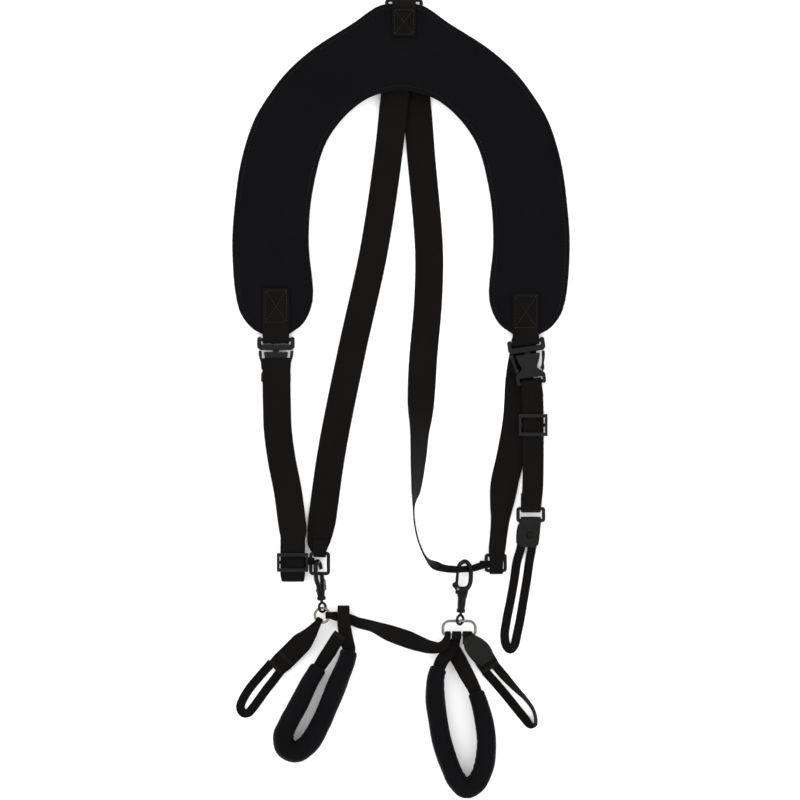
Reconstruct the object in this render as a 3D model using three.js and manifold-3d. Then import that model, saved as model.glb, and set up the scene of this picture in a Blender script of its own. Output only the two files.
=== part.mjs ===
// Two-shoulder instrument harness: a padded yoke, its webbing, quick-release buckles, snap hooks
// and the loops that hold the instrument. Millimetres, +Z up, lying flat on z = 0, nape at +Y.
import * as THREE from 'three';
import * as BufferGeometryUtils from 'three/addons/utils/BufferGeometryUtils.js';
import Module from 'manifold-3d';

const wasm = await Module();
wasm.setup();

// Driving dimensions
const WIDE = 25.4;            // main webbing
const NARROW = 19;            // loop and accessory webbing
const CORD_WEB = 8;           // thin webbing of the instrument loops
const WEB = 1.5;              // webbing thickness
const THIN = 1.2;             // thickness of the thin webbing
const GAP = 0.4;              // clearance between pieces that touch
const PAD = 5;                // neoprene pad thickness
const LINING = 1;             // soft lining under the pad
const LAYER_GAP = 0.8;        // between the lining and the pad
const NAPE_LIFT = 9.4;        // the pad rides over the back strap here
const WIRE = 1.5;             // radius of ring wire
const BUCKLE_Z = 6.6;         // mid-plane of the side-release buckles
const BUCKLE_T = 8.4;         // buckle thickness
const HOOK_Z = 8;             // plane of the snap hooks
const HOOK_WIRE = 1.9;        // radius of the hook's stock
const SLEEVE_Z = 13;          // centre height of the padded loops

const harness = new THREE.Group();

// Materials
const paint = (color, roughness, metalness = 0) => () =>
  new THREE.MeshStandardMaterial({ color, roughness, metalness });
const neoprene = paint(0x161617, 0.9);
const lining = paint(0x1c1c1f, 0.95);
const webbing = paint(0x1b1918, 0.85);
const plastic = paint(0x1d1d1e, 0.45);
const leather = paint(0x22221f, 0.6);
const nickel = paint(0xb9b3a2, 0.25, 1);
const darkSteel = paint(0x3a3a3c, 0.35, 1);

function place(parent, name, geometry, material) {
  const mesh = new THREE.Mesh(geometry, material());
  mesh.name = name;
  parent.add(mesh);
  return mesh;
}

function toSolid(geometry) {
  const bare = geometry.clone();
  bare.deleteAttribute('normal');
  bare.deleteAttribute('uv');
  const merged = BufferGeometryUtils.mergeVertices(bare, 1e-4);
  return new wasm.Manifold(new wasm.Mesh({
    numProp: 3,
    vertProperties: new Float32Array(merged.attributes.position.array),
    triVerts: new Uint32Array(merged.index.array),
  }));
}

function toGeometry(solid) {
  const mesh = solid.getMesh();
  const geometry = new THREE.BufferGeometry();
  geometry.setAttribute('position', new THREE.BufferAttribute(mesh.vertProperties, 3));
  geometry.setIndex(new THREE.BufferAttribute(mesh.triVerts, 1));
  return geometry;
}

const join = (...shapes) => toGeometry(shapes.map(toSolid).reduce((a, b) => a.add(b)));
const cut = (shape, ...tools) =>
  toGeometry(tools.map(toSolid).reduce((a, b) => a.subtract(b), toSolid(shape)));
const box = (w, h, d, x = 0, y = 0, z = 0) => new THREE.BoxGeometry(w, h, d).translate(x, y, z);

// Signed volume, positive when the faces point outwards.
function enclosed(points, faces) {
  let sum = 0;
  for (let i = 0; i < faces.length; i += 3) {
    const [a, b, c] = [points[faces[i]], points[faces[i + 1]], points[faces[i + 2]]];
    sum += a.dot(b.clone().cross(c));
  }
  return sum;
}

// Joins rings of points, each the same length, into one closed skin.
function skin(rings, closed) {
  const size = rings[0].length;
  const points = rings.flat();
  const faces = [];
  const spans = closed ? rings.length : rings.length - 1;
  for (let i = 0; i < spans; i++) {
    const a = i * size;
    const b = ((i + 1) % rings.length) * size;
    for (let j = 0; j < size; j++) {
      const k = (j + 1) % size;
      faces.push(a + j, a + k, b + k, a + j, b + k, b + j);
    }
  }
  if (!closed) {
    const last = (rings.length - 1) * size;
    for (let j = 1; j < size - 1; j++) {
      faces.push(0, j + 1, j);
      faces.push(last, last + j, last + j + 1);
    }
  }
  const outward = enclosed(points, faces) > 0 ? faces : faces.reverse();
  const geometry = new THREE.BufferGeometry();
  const numbers = points.flatMap((p) => p.toArray());
  geometry.setAttribute('position', new THREE.Float32BufferAttribute(numbers, 3));
  geometry.setIndex(outward);
  return geometry;
}

// A station is [x, y, z, heading, tilt, width]: heading is the way the web's width points in plan,
// tilt is how far that width leans out of the floor plane, both in degrees.
function sampleRoute(stations, steps, closed) {
  const middles = stations.map(([x, y, z]) => new THREE.Vector3(x, y, z));
  const curve = new THREE.CatmullRomCurve3(middles, closed, 'centripetal');
  const count = stations.length;
  const spans = closed ? count : count - 1;
  const frames = [];
  for (let i = 0; i < spans * steps + (closed ? 0 : 1); i++) {
    const u = i / (spans * steps);
    const k = Math.min(Math.floor(i / steps), spans - 1);
    const f = i / steps - k;
    const from = stations[k];
    const to = stations[(k + 1) % count];
    const mix = (n) => from[n] + (to[n] - from[n]) * f;
    const heading = THREE.MathUtils.degToRad(mix(3));
    const tilt = THREE.MathUtils.degToRad(mix(4));
    const across = new THREE.Vector3(
      Math.cos(heading) * Math.cos(tilt), Math.sin(heading) * Math.cos(tilt), Math.sin(tilt));
    const along = curve.getTangent(u);
    across.addScaledVector(along, -across.dot(along)).normalize();
    const up = new THREE.Vector3().crossVectors(along, across).normalize();
    frames.push({ at: curve.getPoint(u), across, up, width: mix(5) });
  }
  return frames;
}

function ribbon(stations, { steps = 3, thickness = WEB, closed = false } = {}) {
  const rings = sampleRoute(stations, steps, closed).map(({ at, across, up, width }) =>
    [[-1, -1], [-1, 1], [1, 1], [1, -1]].map(([s, t]) => at.clone()
      .addScaledVector(across, s * width / 2)
      .addScaledVector(up, t * thickness / 2)));
  return skin(rings, closed);
}

// A turned end: the web rounds a bar of radius r and leaves in the plan direction `run`. The tail
// lies on the far face; `side` is +1 when the web leaves on top of the bar.
function turn(bar, run, r, side, tail, width, heading = run + 90) {
  const reach = r + GAP + WEB / 2;
  const a = THREE.MathUtils.degToRad(run);
  const station = (along, lift) => [
    bar[0] + Math.cos(a) * along, bar[1] + Math.sin(a) * along, bar[2] + side * lift, heading, 0, width];
  const bend = [-90, -135, 180, 135, 90].map((deg) => {
    const t = THREE.MathUtils.degToRad(deg);
    return station(reach * Math.cos(t), reach * Math.sin(t));
  });
  return [station(tail, -reach), ...bend];
}

// A point beside another, at the same height.
const beside = ([x, y, z], dx, dy) => [x + dx, y + dy, z];

// Round stock bent along a route.
function rod(points, r, { steps = 16, sides = 8 } = {}) {
  const path = points.length === 2
    ? new THREE.LineCurve3(new THREE.Vector3(...points[0]), new THREE.Vector3(...points[1]))
    : new THREE.CatmullRomCurve3(points.map((p) => new THREE.Vector3(...p)));
  const round = new THREE.Shape(Array.from({ length: sides }, (_, i) => {
    const t = (2 * Math.PI * i) / sides;
    return new THREE.Vector2(r * Math.cos(t), r * Math.sin(t));
  }));
  return new THREE.ExtrudeGeometry(round, { steps: points.length === 2 ? 1 : steps, extrudePath: path });
}

function roundedOutline(w, h, corner, shoulder = corner) {
  const x = w / 2;
  const y = h / 2;
  const outline = new THREE.Path();
  outline.absarc(x - shoulder, y - shoulder, shoulder, 0, Math.PI / 2);
  outline.absarc(shoulder - x, y - shoulder, shoulder, Math.PI / 2, Math.PI);
  outline.absarc(corner - x, corner - y, corner, Math.PI, 1.5 * Math.PI);
  outline.absarc(x - corner, corner - y, corner, 1.5 * Math.PI, 2 * Math.PI);
  return outline.getPoints(3);
}

// A closed wire ring, w by h over the outside; its upper corners may be rounder, as on a D-ring.
function wireRing(w, h, corner, r, shoulder = corner) {
  const sides = 8;
  const raw = roundedOutline(w - 2 * r, h - 2 * r, corner, shoulder);
  const line = raw.filter((p, i) => p.distanceTo(raw[(i + 1) % raw.length]) > 1e-3);
  const rings = line.map((p, i) => {
    const before = line[(i + line.length - 1) % line.length];
    const after = line[(i + 1) % line.length];
    const along = after.clone().sub(before).normalize();
    const out = new THREE.Vector3(along.y, -along.x, 0);
    return Array.from({ length: sides }, (_, j) => {
      const t = (2 * Math.PI * j) / sides;
      return new THREE.Vector3(p.x, p.y, r * Math.sin(t)).addScaledVector(out, r * Math.cos(t));
    });
  });
  return skin(rings, true);
}

function plate(points, thickness, holes = [], bevel = 0.5) {
  const shape = new THREE.Shape(points.map((p) => new THREE.Vector2(...p)));
  shape.holes = holes.map((hole) => new THREE.Path(hole.map((p) => new THREE.Vector2(...p))));
  const depth = thickness - 2 * bevel;
  return new THREE.ExtrudeGeometry(shape, {
    depth, bevelEnabled: bevel > 0, bevelThickness: bevel, bevelSize: bevel, bevelOffset: -bevel,
    bevelSegments: 1,
  }).translate(0, 0, -depth / 2);
}

// A turned piece about Y from [radius, height] pairs.
const turned = (profile, sides) =>
  new THREE.LatheGeometry(profile.map((p) => new THREE.Vector2(...p)), sides);

const mirrorX = (points) => points.map(([x, y]) => [-x, y]).reverse();

// Yoke: matched points along its outer and inner edge, nape centre to the end of the right arm.
const YOKE_OUTER = [[0, 355], [19, 353.5], [43.5, 337.5], [79, 315.5], [103.5, 294], [120.5, 272],
  [133.5, 250], [145, 214], [150.5, 178], [153.3, 132], [147, 78], [136, 62], [126, 56]];
const YOKE_INNER = [[0, 276], [14, 274], [30, 268.5], [46, 257], [58, 244], [66, 232], [72, 218],
  [78, 194], [82, 168], [83, 135], [79.5, 87], [88, 66], [101, 56]];

function yokeEdge(points) {
  const half = points.map(([x, y]) => new THREE.Vector3(x, y, 0));
  const whole = [...half.slice(1).reverse().map((p) => new THREE.Vector3(-p.x, p.y, 0)), ...half];
  return new THREE.CatmullRomCurve3(whole, false, 'centripetal');
}

const MIDDLE = 'middle';

function napeLift(x) {
  const t = THREE.MathUtils.clamp((Math.abs(x) - 28) / 62, 0, 1);
  return NAPE_LIFT * (1 + Math.cos(Math.PI * t)) / 2;
}

function yokeLayer(low, thickness, inset, spans = 60) {
  const outer = yokeEdge(YOKE_OUTER);
  const inner = yokeEdge(YOKE_INNER);
  const profile = [[inset + 1, 0], [inset, 0.5], [inset + 2, 1], [MIDDLE, 1], [-inset - 2, 1],
    [-inset, 0.5], [-inset - 1, 0], [MIDDLE, 0]];
  const rings = Array.from({ length: spans + 1 }, (_, i) => {
    const a = inner.getPoint(i / spans);
    const b = outer.getPoint(i / spans);
    const way = b.clone().sub(a);
    const width = way.length();
    way.normalize();
    return profile.map(([from, level]) => {
      const d = from === MIDDLE ? width / 2 : from > 0 ? from : width + from;
      const p = a.clone().addScaledVector(way, d);
      p.z = low + level * thickness + napeLift(p.x);
      return p;
    });
  });
  return skin(rings, false);
}

place(harness, 'yoke_lining', yokeLayer(0, LINING, 3), lining);
place(harness, 'yoke_pad', yokeLayer(LINING + LAYER_GAP, PAD, 0.4), neoprene);
const YOKE_TOP = LINING + LAYER_GAP + PAD;

// Webbing tabs sewn on the yoke: the nape tab holds a ring, the end tabs hold the buckles.
const NAPE_X = 2.7;
const NAPE_RING = [NAPE_X, 353, 5.2];
const NAPE_TAB = 21.5;
const NAPE_TOP = NAPE_LIFT + YOKE_TOP + 1.3;
place(harness, 'nape_tab', ribbon([
  [324.7, NAPE_TOP], [340, NAPE_TOP], [351.5, NAPE_TOP + 0.4], [357.8, NAPE_LIFT + 4.6],
  [361, 8.2], [362.1, 5.4], [360.8, 2.9], [358, 2.2],
].map(([y, z]) => [NAPE_X, y, z, 0, 0, NAPE_TAB])), webbing);
place(harness, 'nape_ring', wireRing(34, 14, 2, WIRE).translate(...NAPE_RING), plastic);

const END_TAB = 24;

function endTab(name, { at, turn: lean }, top) {
  const [x, y] = at;
  const over = [[y + 7.5, YOKE_TOP + 1.7], [y + 14, YOKE_TOP + 1.2], [top, YOKE_TOP + 1.2]];
  place(harness, name, ribbon([
    ...turn(at, 90 + lean, 1.8, 1, 3, END_TAB),
    ...over.map(([along, z]) => [x, along, z, 180, 0, END_TAB]),
  ]), webbing);
}

const LEFT_BUCKLE = { at: [-113.2, 51, BUCKLE_Z], turn: 0 };
const RIGHT_BUCKLE = { at: [113, 49, BUCKLE_Z], turn: 8 };
endTab('left_end_tab', LEFT_BUCKLE, 98);
endTab('right_end_tab', RIGHT_BUCKLE, 93);

// Side-release buckle. Its own origin is the middle of the male half's web bar, -y to the female.
const BAR = 1.7;
const FEMALE_BAR = 37;

function maleHalf() {
  const ears = plate([[-17, 1.4], [-15.6, 2.6], [-13.4, 2.6], [-13.4, -4.2], [13.4, -4.2], [13.4, 2.6],
    [15.6, 2.6], [17, 1.4], [17, -7], [14.6, -9.4], [-14.6, -9.4], [-17, -7]], 6);
  const bar = rod([[-14.5, 0, 0], [14.5, 0, 0]], BAR);
  const guide = plate([[-2.6, -8.6], [2.6, -8.6], [2.2, -24], [1, -26], [-1, -26], [-2.2, -24]], 2.4);
  return join(ears, bar, guide);
}

function springArm(side) {
  const outline = [[13, -9.8], [15.8, -9.8], [15.6, -14], [13.6, -21], [13.4, -26], [11.6, -28.4],
    [9.4, -25], [11.2, -22.6], [12.6, -16]];
  return plate(side > 0 ? outline : mirrorX(outline), 4.2);
}

function femaleHalf() {
  const half = [[11, -11.2], [10.6, -14], [9.2, -18.4], [7.4, -22], [7.2, -24.6], [12.2, -29],
    [13.4, -30.6], [13.4, -37.4], [12, -39]];
  const shell = plate([...half, [10.6, -39], [10.6, -32.6], [-10.6, -32.6], [-10.6, -39],
    ...half.map(([x, y]) => [-x, y]).reverse()], BUCKLE_T, [], 0.8);
  const channel = box(13, 18.4, 4.4, 0, -19.4);
  const windows = box(30, 3.6, 5, 0, -26.6);
  const bar = rod([[-11, -FEMALE_BAR, 0], [11, -FEMALE_BAR, 0]], BAR);
  return join(cut(shell, channel, windows), bar);
}

function buckle(side, spec) {
  const group = new THREE.Group();
  group.position.set(...spec.at);
  group.rotation.z = THREE.MathUtils.degToRad(spec.turn);
  harness.add(group);
  place(group, `${side}_buckle_male`, maleHalf(), plastic);
  place(group, `${side}_buckle_arm_l`, springArm(-1), plastic);
  place(group, `${side}_buckle_arm_r`, springArm(1), plastic);
  place(group, `${side}_buckle_female`, femaleHalf(), plastic);
}
buckle('left', LEFT_BUCKLE);
buckle('right', RIGHT_BUCKLE);

// The middle of the female half's web bar.
function femaleBar({ at, turn: lean }) {
  const a = THREE.MathUtils.degToRad(lean);
  return beside(at, FEMALE_BAR * Math.sin(a), -FEMALE_BAR * Math.cos(a));
}

// Back strap: one web from the lower left ring, through the nape ring and down to the lower right.
const LEFT_RING = [-73.6, -151.5, 9.2];
const RIGHT_LINK = [85.7, -151, HOOK_Z];
place(harness, 'back_strap', ribbon([
  ...turn(beside(LEFT_RING, 0, 9), 88, WIRE, -1, 12, 11.6),
  [-74.6, -134, 4.6, 173, 0, 20],
  [-71.5, -112, 3, 171, 0, WIDE],
  [-62.6, -49, 3, 171, 0, WIDE],
  [-44.4, 41.7, 3, 169, 0, WIDE],
  [-24.5, 132.4, 4, 171, 0, WIDE],
  [-10.9, 223, 6, 175, 0, WIDE],
  [-6, 268.5, 7, 177, 0, WIDE],
  [0, 315, 7.9, 178, 0, WIDE],
  ...turn(beside(NAPE_RING, 0, -5.6), -90, WIRE, 1, 0, WIDE, 180).slice(1).reverse(),
  [8.4, 310, 2, 182, 0, WIDE],
  [14, 268.5, 1.6, 183, 0, WIDE],
  [18.6, 214, 1.2, 184, 0, WIDE],
  [25.4, 132.4, 1, 182, 0, WIDE],
  [24.6, 87, 1, 178, 0, WIDE],
  [20, 32.7, 1.2, 176, 0, WIDE],
  [18.1, -3.6, 4.6, 177, 16, WIDE],
  [17, -30, 10.2, 177, 46, WIDE],
  [15.6, -58, 12.2, 177, 58, WIDE],
  [13.6, -85.3, 13.2, 178, 72, WIDE],
  [11.6, -99, 13.5, 180, 88, WIDE],
  [12.4, -116, 13.5, 210, 90, WIDE],
  [17.2, -135, 13.5, 230, 90, WIDE],
  [25, -149, 13.6, 250, 84, 22],
  [36, -155, 14, 260, 40, 9],
  [50.2, -156.8, 13.4, 266, 0, 6.4],
  [57.4, -156.6, 8, 270, 0, 6],
  [64, -156.4, 2.9, 275, 0, 6],
  [70.6, -154.4, 3.4, 285, 0, 6.6],
  ...turn(beside(RIGHT_LINK, -8.5, -1.2), 180, WIRE, -1, 6, 6.6).reverse(),
]), webbing);

place(harness, 'lower_left_ring', wireRing(18.8, 21, 1.8, WIRE).translate(...LEFT_RING), plastic);
place(harness, 'lower_right_link', wireRing(20, 17, 1.8, WIRE).translate(...RIGHT_LINK), plastic);

// Front straps
place(harness, 'left_front_strap', ribbon([
  ...turn(femaleBar(LEFT_BUCKLE), 90, BAR, 1, 2, 18),
  [-113, 16.8, 11.9, 180, 0, 19],
  [-112.8, 22, 12.4, 180, 0, 24],
  [-112.6, 31, 12.4, 180, 0, WIDE],
  [-112.5, 33.8, 13.8, 180, 0, WIDE],
  [-112.5, 31, 15.2, 180, 0, WIDE],
  [-112.5, 18, 15, 180, 0, WIDE],
  [-112.5, 6, 11.6, 180, 0, WIDE],
  [-112.4, -8, 6.4, 181, 0, WIDE],
  [-111.6, -30.8, 4.4, 182, 0, WIDE],
  [-108, -58, 5.4, 188, 0, WIDE],
  [-102.6, -85.3, 6.8, 188, 0, WIDE],
  [-98.9, -112.5, 8, 184, 0, WIDE],
  [-97.6, -132, 8.6, 181, 0, 25],
  [-98, -140.6, 8.7, 181, 0, 22.4],
  [-98, -161, 8.7, 180, 0, 22.4],
  [-98, -166, 7.4, 180, 0, 21],
  [-98, -167.6, 5, 180, 0, 20],
  [-98, -164.4, 3, 180, 0, 18],
]), webbing);
place(harness, 'lower_left_link', ribbon([
  [-99, -152.4, 2.8, 86, 0, 12],
  [-90, -151.4, 2.8, 88, 0, 12],
  [-85.2, -150, 3, 90, 0, 8],
  ...turn(beside(LEFT_RING, -7.9, 2.1), 180, WIRE, -1, 0.8, 6.4, 90).reverse(),
]), webbing);

function triGlide(w, h) {
  const rails = [-1, 1].map((s) => box(2.4, h, 6.2, s * (w / 2 - 1.2), 0, 0));
  const outer = [-1, 1].map((s) => box(w, 3.2, 2, 0, s * (h / 2 - 1.6), 2.1));
  const middle = box(w, 3.2, 1.8, 0, 0, -2.2);
  return join(...rails, ...outer, middle);
}
place(harness, 'lower_left_glide', triGlide(28.4, 17).translate(-98.1, -150.6, 8.8), plastic);

place(harness, 'right_front_strap', ribbon([
  [111.4, 52, 1, 180, 0, 22],
  [110.6, 40, 1, 181, 0, 24],
  [107.4, 14.5, 1, 184, 0, WIDE],
  [105, -21.8, 1, 186, 0, WIDE],
  [98.6, -58, 1, 190, 0, WIDE],
  [94, -78, 2.6, 190, 8, WIDE],
  [91.4, -96, 6.8, 188, 24, 24],
  [89.6, -113, 9.6, 186, 40, 22],
  [88, -128, 12, 182, 30, 18],
  [86.6, -141, 12.3, 180, 6, 15],
  [86.3, -150, 11.8, 180, 0, 12.4],
  ...turn(beside(RIGHT_LINK, 0.5, -7), 90, WIRE, 1, 3, 12.2).reverse(),
]), webbing);

// Accessory strap, its slider, the loop ring, the leather tab and the thin loop under it
const LOOP_RING = [117.6, -107.4, 5];
place(harness, 'accessory_strap', ribbon([
  ...turn(femaleBar(RIGHT_BUCKLE), -82, BAR, 1, 14, 18.4),
  [119.4, -4, 6.6, 2, 0, NARROW],
  [119.7, -26.3, 6, 0, 0, NARROW],
  [119.7, -60, 6, 0, 0, NARROW],
  [119.2, -84, 6.6, 0, 0, NARROW],
  ...turn(beside(LOOP_RING, 0, 5.3), 90, WIRE, 1, 14, 18, 0).reverse(),
]), webbing);
place(harness, 'accessory_glide', triGlide(26, 20).translate(119.7, -26.3, 6.1), plastic);
place(harness, 'loop_ring', wireRing(26, 13.6, 1.2, WIRE).translate(...LOOP_RING), plastic);
place(harness, 'loop_tab', ribbon([
  [114.4, -136.8, 1.5, 0, 0, 15],
  [114.6, -134, 1.5, 0, 0, 20],
  [115.4, -122, 1.7, 0, 0, 21],
  ...turn(beside(LOOP_RING, 0, -5.3), -90, WIRE, 1, 3, 18.4),
  [115.6, -122, 6, 0, 0, 21],
  [114.8, -131, 5.6, 0, 0, 20.5],
  [114.6, -134, 5.6, 0, 0, 19],
  [114.4, -136.8, 5.6, 0, 0, 13],
]), leather);
place(harness, 'loop_tab_rivet', turned([[0, 0], [2.6, 0], [2.9, 0.5], [1.6, 1.3], [0, 1.5]], 12)
  .rotateX(Math.PI / 2).translate(116.6, -126, 7), darkSteel);

function thinLoop(name, stations) {
  const full = stations.map(([x, y, z, heading, tilt = 0]) => [x, y, z, heading, tilt, CORD_WEB]);
  place(harness, name, ribbon(full, { thickness: THIN }), webbing);
}
thinLoop('accessory_loop', [
  [110.4, -128, 3.8, -8], [108, -140, 3.2, -10], [105.2, -150, 1.2, -10], [102.6, -167, 1, -10],
  [99.4, -185, 1, -11], [95.8, -203, 1, -10], [94, -217, 1, 0], [95.4, -226, 1, 45], [99, -229.8, 1, 90],
  [102.8, -226, 1, 135], [105, -217, 1, 168], [108, -203, 1, 170], [111, -185, 1, 170], [114, -167, 1, 172],
  [116.4, -150, 1.2, 172], [118.4, -139, 3.4, 173], [119.4, -128, 3.8, 174],
]);

// Snap hook. Its own origin is the middle of the swivel eye, +y towards the nose.
const PIVOT_X = 4.4;          // the gate's rivet, across from the barrel
const PIVOT_UP = 3.6;         // and above the barrel's top
const PIVOT_HOLE = 1.2;       // radius of the hole through cheeks and gate

// `neck` is the height of the barrel's top, `top` the height of the bow's.
function hookBody(neck, top) {
  const stock = rod([[0, neck, 0], [-3.4, neck + 4, 0], [-6, neck + 9, 0], [-6.2, top - 14, 0],
    [-4.6, top - 6, 0], [0, top - 2, 0], [4.6, top - 5, 0], [5.8, top - 9.4, 0]],
  HOOK_WIRE, { steps: 22 });
  const barrel = turned([[0, 6.4], [3.4, 6.4], [4, 7.2], [4, 9.6], [3.4, 10.4], [4, neck - 3],
    [4.4, neck], [3, neck + 1.6], [0, neck + 1.6]], 14);
  const bore = new THREE.CylinderGeometry(1.9, 1.9, 8, 10).translate(0, 8.4, 0);
  const cheeks = [-1, 1].map((s) => box(6.4, 7, 1.3, 3.2, neck + 2.6, s * 2.75));
  const bridge = box(3, 5, 6.8, 0.6, neck + 1.2, 0);
  return cut(join(cut(join(stock, barrel), bore), ...cheeks, bridge), pivotPin(PIVOT_HOLE, 9, neck));
}

// A pin on the gate's pivot line, across the hook.
function pivotPin(r, length, neck) {
  const pin = new THREE.CylinderGeometry(r, r, length, 10);
  return pin.rotateX(Math.PI / 2).translate(PIVOT_X, neck + PIVOT_UP, 0);
}

function hookGate(neck, top) {
  const lever = plate([[3, neck + 2], [6, neck + 1.6], [7.4, neck + 3.6], [9.8, neck + 6], [9.4, neck + 9],
    [7.4, neck + 9.4], [7.2, top - 12.2], [4.6, top - 12.2], [4.6, neck + 8], [2.6, neck + 5]], 3.6, [], 0.4);
  return cut(lever, pivotPin(PIVOT_HOLE, 9, neck));
}

function hookEye() {
  const eye = new THREE.TorusGeometry(4.1, 1.2, 8, 18).rotateY(Math.PI / 4);
  const neck = new THREE.CylinderGeometry(1.4, 1.4, 6, 10).translate(0, 7.4, 0);
  return join(eye, neck);
}

function snapHook(side, at, lean, roll, neck, top) {
  const group = new THREE.Group();
  group.position.set(...at);
  group.rotation.z = THREE.MathUtils.degToRad(lean);
  harness.add(group);
  const nose = new THREE.Group();
  nose.rotation.y = THREE.MathUtils.degToRad(roll);
  group.add(nose);
  place(nose, `${side}_hook`, hookBody(neck, top), darkSteel);
  place(nose, `${side}_hook_gate`, hookGate(neck, top), darkSteel);
  place(nose, `${side}_hook_rivet`, pivotPin(0.85, 7.6, neck), nickel);
  place(group, `${side}_hook_eye`, hookEye(), darkSteel);
}
snapHook('left', [-71.2, -191.2, 9.6], 6, 66, 16, 44);
snapHook('right', [53.5, -202.5, HOOK_Z], -5, 180, 24, 55);

// Metal rings on the swivel eyes
const LEFT_D = [-71.4, -198.4, 9.6];
const RIGHT_D = [52.6, -209.8, HOOK_Z];
const LEFT_D_R = 6.6;
const D_WIRE = 1.3;
const D_BAR = -6.2;           // the D-ring's straight bar, below its middle
place(harness, 'left_ring', new THREE.TorusGeometry(LEFT_D_R, 1.2, 8, 24).translate(...LEFT_D), nickel);
place(harness, 'right_ring', wireRing(32, 15, 3, D_WIRE, 6).translate(...RIGHT_D), nickel);

// Instrument loops: a flat tab folded on the ring, and a thin loop sewn in its end
place(harness, 'left_loop_tab', ribbon([
  ...turn(beside(LEFT_D, -3.2, -5.8), -118, 2, 1, 14, 6),
  [-82.6, -215.4, 10.8, -32, 0, 13],
  [-90, -223.4, 7, -34, 0, NARROW],
  [-98, -231.6, 4.6, -38, 0, NARROW],
  [-107, -240.4, 3.6, -40, 0, NARROW],
  [-114.6, -247.4, 3.4, -40, 0, 17],
]), webbing);
thinLoop('left_instrument_loop', [
  [-117.2, -241.6, 1.6, -40], [-124, -249.4, 1.4, -40], [-131.5, -258, 1.2, -40],
  [-138.6, -267, 1.2, -36], [-143.8, -276, 1.2, -26], [-145.6, -282.4, 1.2, 0], [-143, -287.4, 1.2, 60],
  [-138.6, -287.2, 1.2, 100], [-134, -282.4, 1.2, 136], [-129, -275.6, 1.2, 142],
  [-122.4, -266.4, 1.2, 142], [-115.4, -257.6, 1.2, 140], [-109, -249, 1.3, 138],
]);
place(harness, 'right_loop_tab', ribbon([
  ...turn(beside(RIGHT_D, 7.6, D_BAR), -90, D_WIRE, 1, 9, 8.8),
  [64.6, -224, 10.4, 22, 0, 16],
  [71.4, -231.4, 7.4, 35, 0, NARROW],
  [76.4, -239.4, 4.6, 36, 0, NARROW],
  [81.6, -247.6, 3.4, 38, 0, 18],
]), webbing);
place(harness, 'right_loop_patch', ribbon([
  [60.4, -217.6, 12.9, 10, 0, 11], [65, -224.2, 12.4, 24, 0, 18], [71.6, -231.6, 9.8, 35, 0, 20.5],
  [76.6, -239.2, 6.8, 36, 0, 17], [78, -241.4, 6, 36, 0, 10],
], { steps: 2 }), leather);
thinLoop('right_instrument_loop', [
  [76.4, -249.8, 1.4, 38], [84, -258.2, 1.2, 38], [91.6, -267, 1.2, 40], [99, -276, 1.2, 40],
  [106.2, -285, 1.2, 42], [112.2, -292.4, 1.2, 40], [117.2, -298, 3, 60, 30], [121.6, -297.2, 4.4, 120, 60],
  [121.8, -290.8, 4.6, 190, 70], [119.4, -283.4, 4.6, 210, 70], [112.6, -274, 4.6, 220, 66],
  [104.8, -266, 4, 220, 50], [96.4, -257, 3, 220, 24], [89, -248.6, 1.4, 218], [84.4, -243, 1.4, 218],
]);

// Connector web between the two metal rings
place(harness, 'connector_web', ribbon([
  ...turn(beside(LEFT_D, LEFT_D_R, 0), 0, 1.8, 1, 3, 6),
  [-61, -198.8, 11.4, 91, 0, 7.5],
  [-58, -199.4, 8.8, 90, 0, 8.5],
  [-52, -200.4, 7.3, 88, 0, 9],
  [-46, -202.2, 7.6, 84, 0, 9.5],
  [-39, -205, 8.8, 78, 26, 11],
  [-26.3, -208.2, 9.8, 72, 46, 15],
  [-10, -214.6, 9.4, 68, 32, 18],
  [5.4, -220, 9.6, 70, 26, 18],
  [17, -224.2, 11, 76, 26, 16],
  [27, -227, 12.8, 90, 20, 13],
  [34.6, -227.2, 13.2, 115, 6, 10],
  [39.6, -223.6, 12.4, 145, 0, 8],
  ...turn(beside(RIGHT_D, -10.2, D_BAR), -90, D_WIRE, 1, 3, 5.2, 180).reverse(),
]), webbing);

// Padded loops: webbing stood on edge inside a soft sleeve
const SLEEVE_TALL = 25;
const BORE = [3.2, 11];       // half width and half height of the sleeve's bore

function sleeve(stations, wide) {
  const frames = sampleRoute(stations, 3, false);
  const section = (frame, a, b, count) => Array.from({ length: count }, (_, i) => {
    const t = (2 * Math.PI * i) / count;
    const s = Math.cos(t);
    const c = Math.sin(t);
    return frame.at.clone()
      .addScaledVector(frame.up, a * Math.sign(s) * Math.abs(s) ** 0.8)
      .addScaledVector(frame.across, b * Math.sign(c) * Math.abs(c) ** 0.8);
  });
  const outer = skin(frames.map((f) => section(f, wide / 2, SLEEVE_TALL / 2, 14)), false);
  const longer = [frames[0], ...frames, frames.at(-1)].map((f) => ({ ...f, at: f.at.clone() }));
  const push = (end, next) => end.at.addScaledVector(end.at.clone().sub(next.at).normalize(), 1);
  push(longer[0], longer[2]);
  push(longer.at(-1), longer.at(-3));
  const inner = skin(longer.map((f) => section(f, ...BORE, 8)), false);
  return cut(outer, inner);
}

const standing = (points, width) => points.map(([x, y]) => [x, y, SLEEVE_Z, 0, 90, width]);
const LEFT_LOOP = [[-47, -229.6], [-49.4, -240], [-57, -258.6], [-64.9, -277.3], [-72.9, -296],
  [-83.6, -314.4], [-95, -321.6], [-104, -318], [-106.6, -308], [-102.3, -296.5], [-93, -280],
  [-82.3, -258.7], [-73.6, -244.6]];
const RIGHT_LOOP = [[34.6, -245], [31.6, -254], [30.8, -269.4], [32.2, -286], [36, -309.3], [44, -334],
  [50.6, -347.6], [59, -354.4], [67.6, -350.2], [74.6, -336], [77.2, -317], [75.8, -299], [71.8, -281],
  [67.2, -267]];

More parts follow.
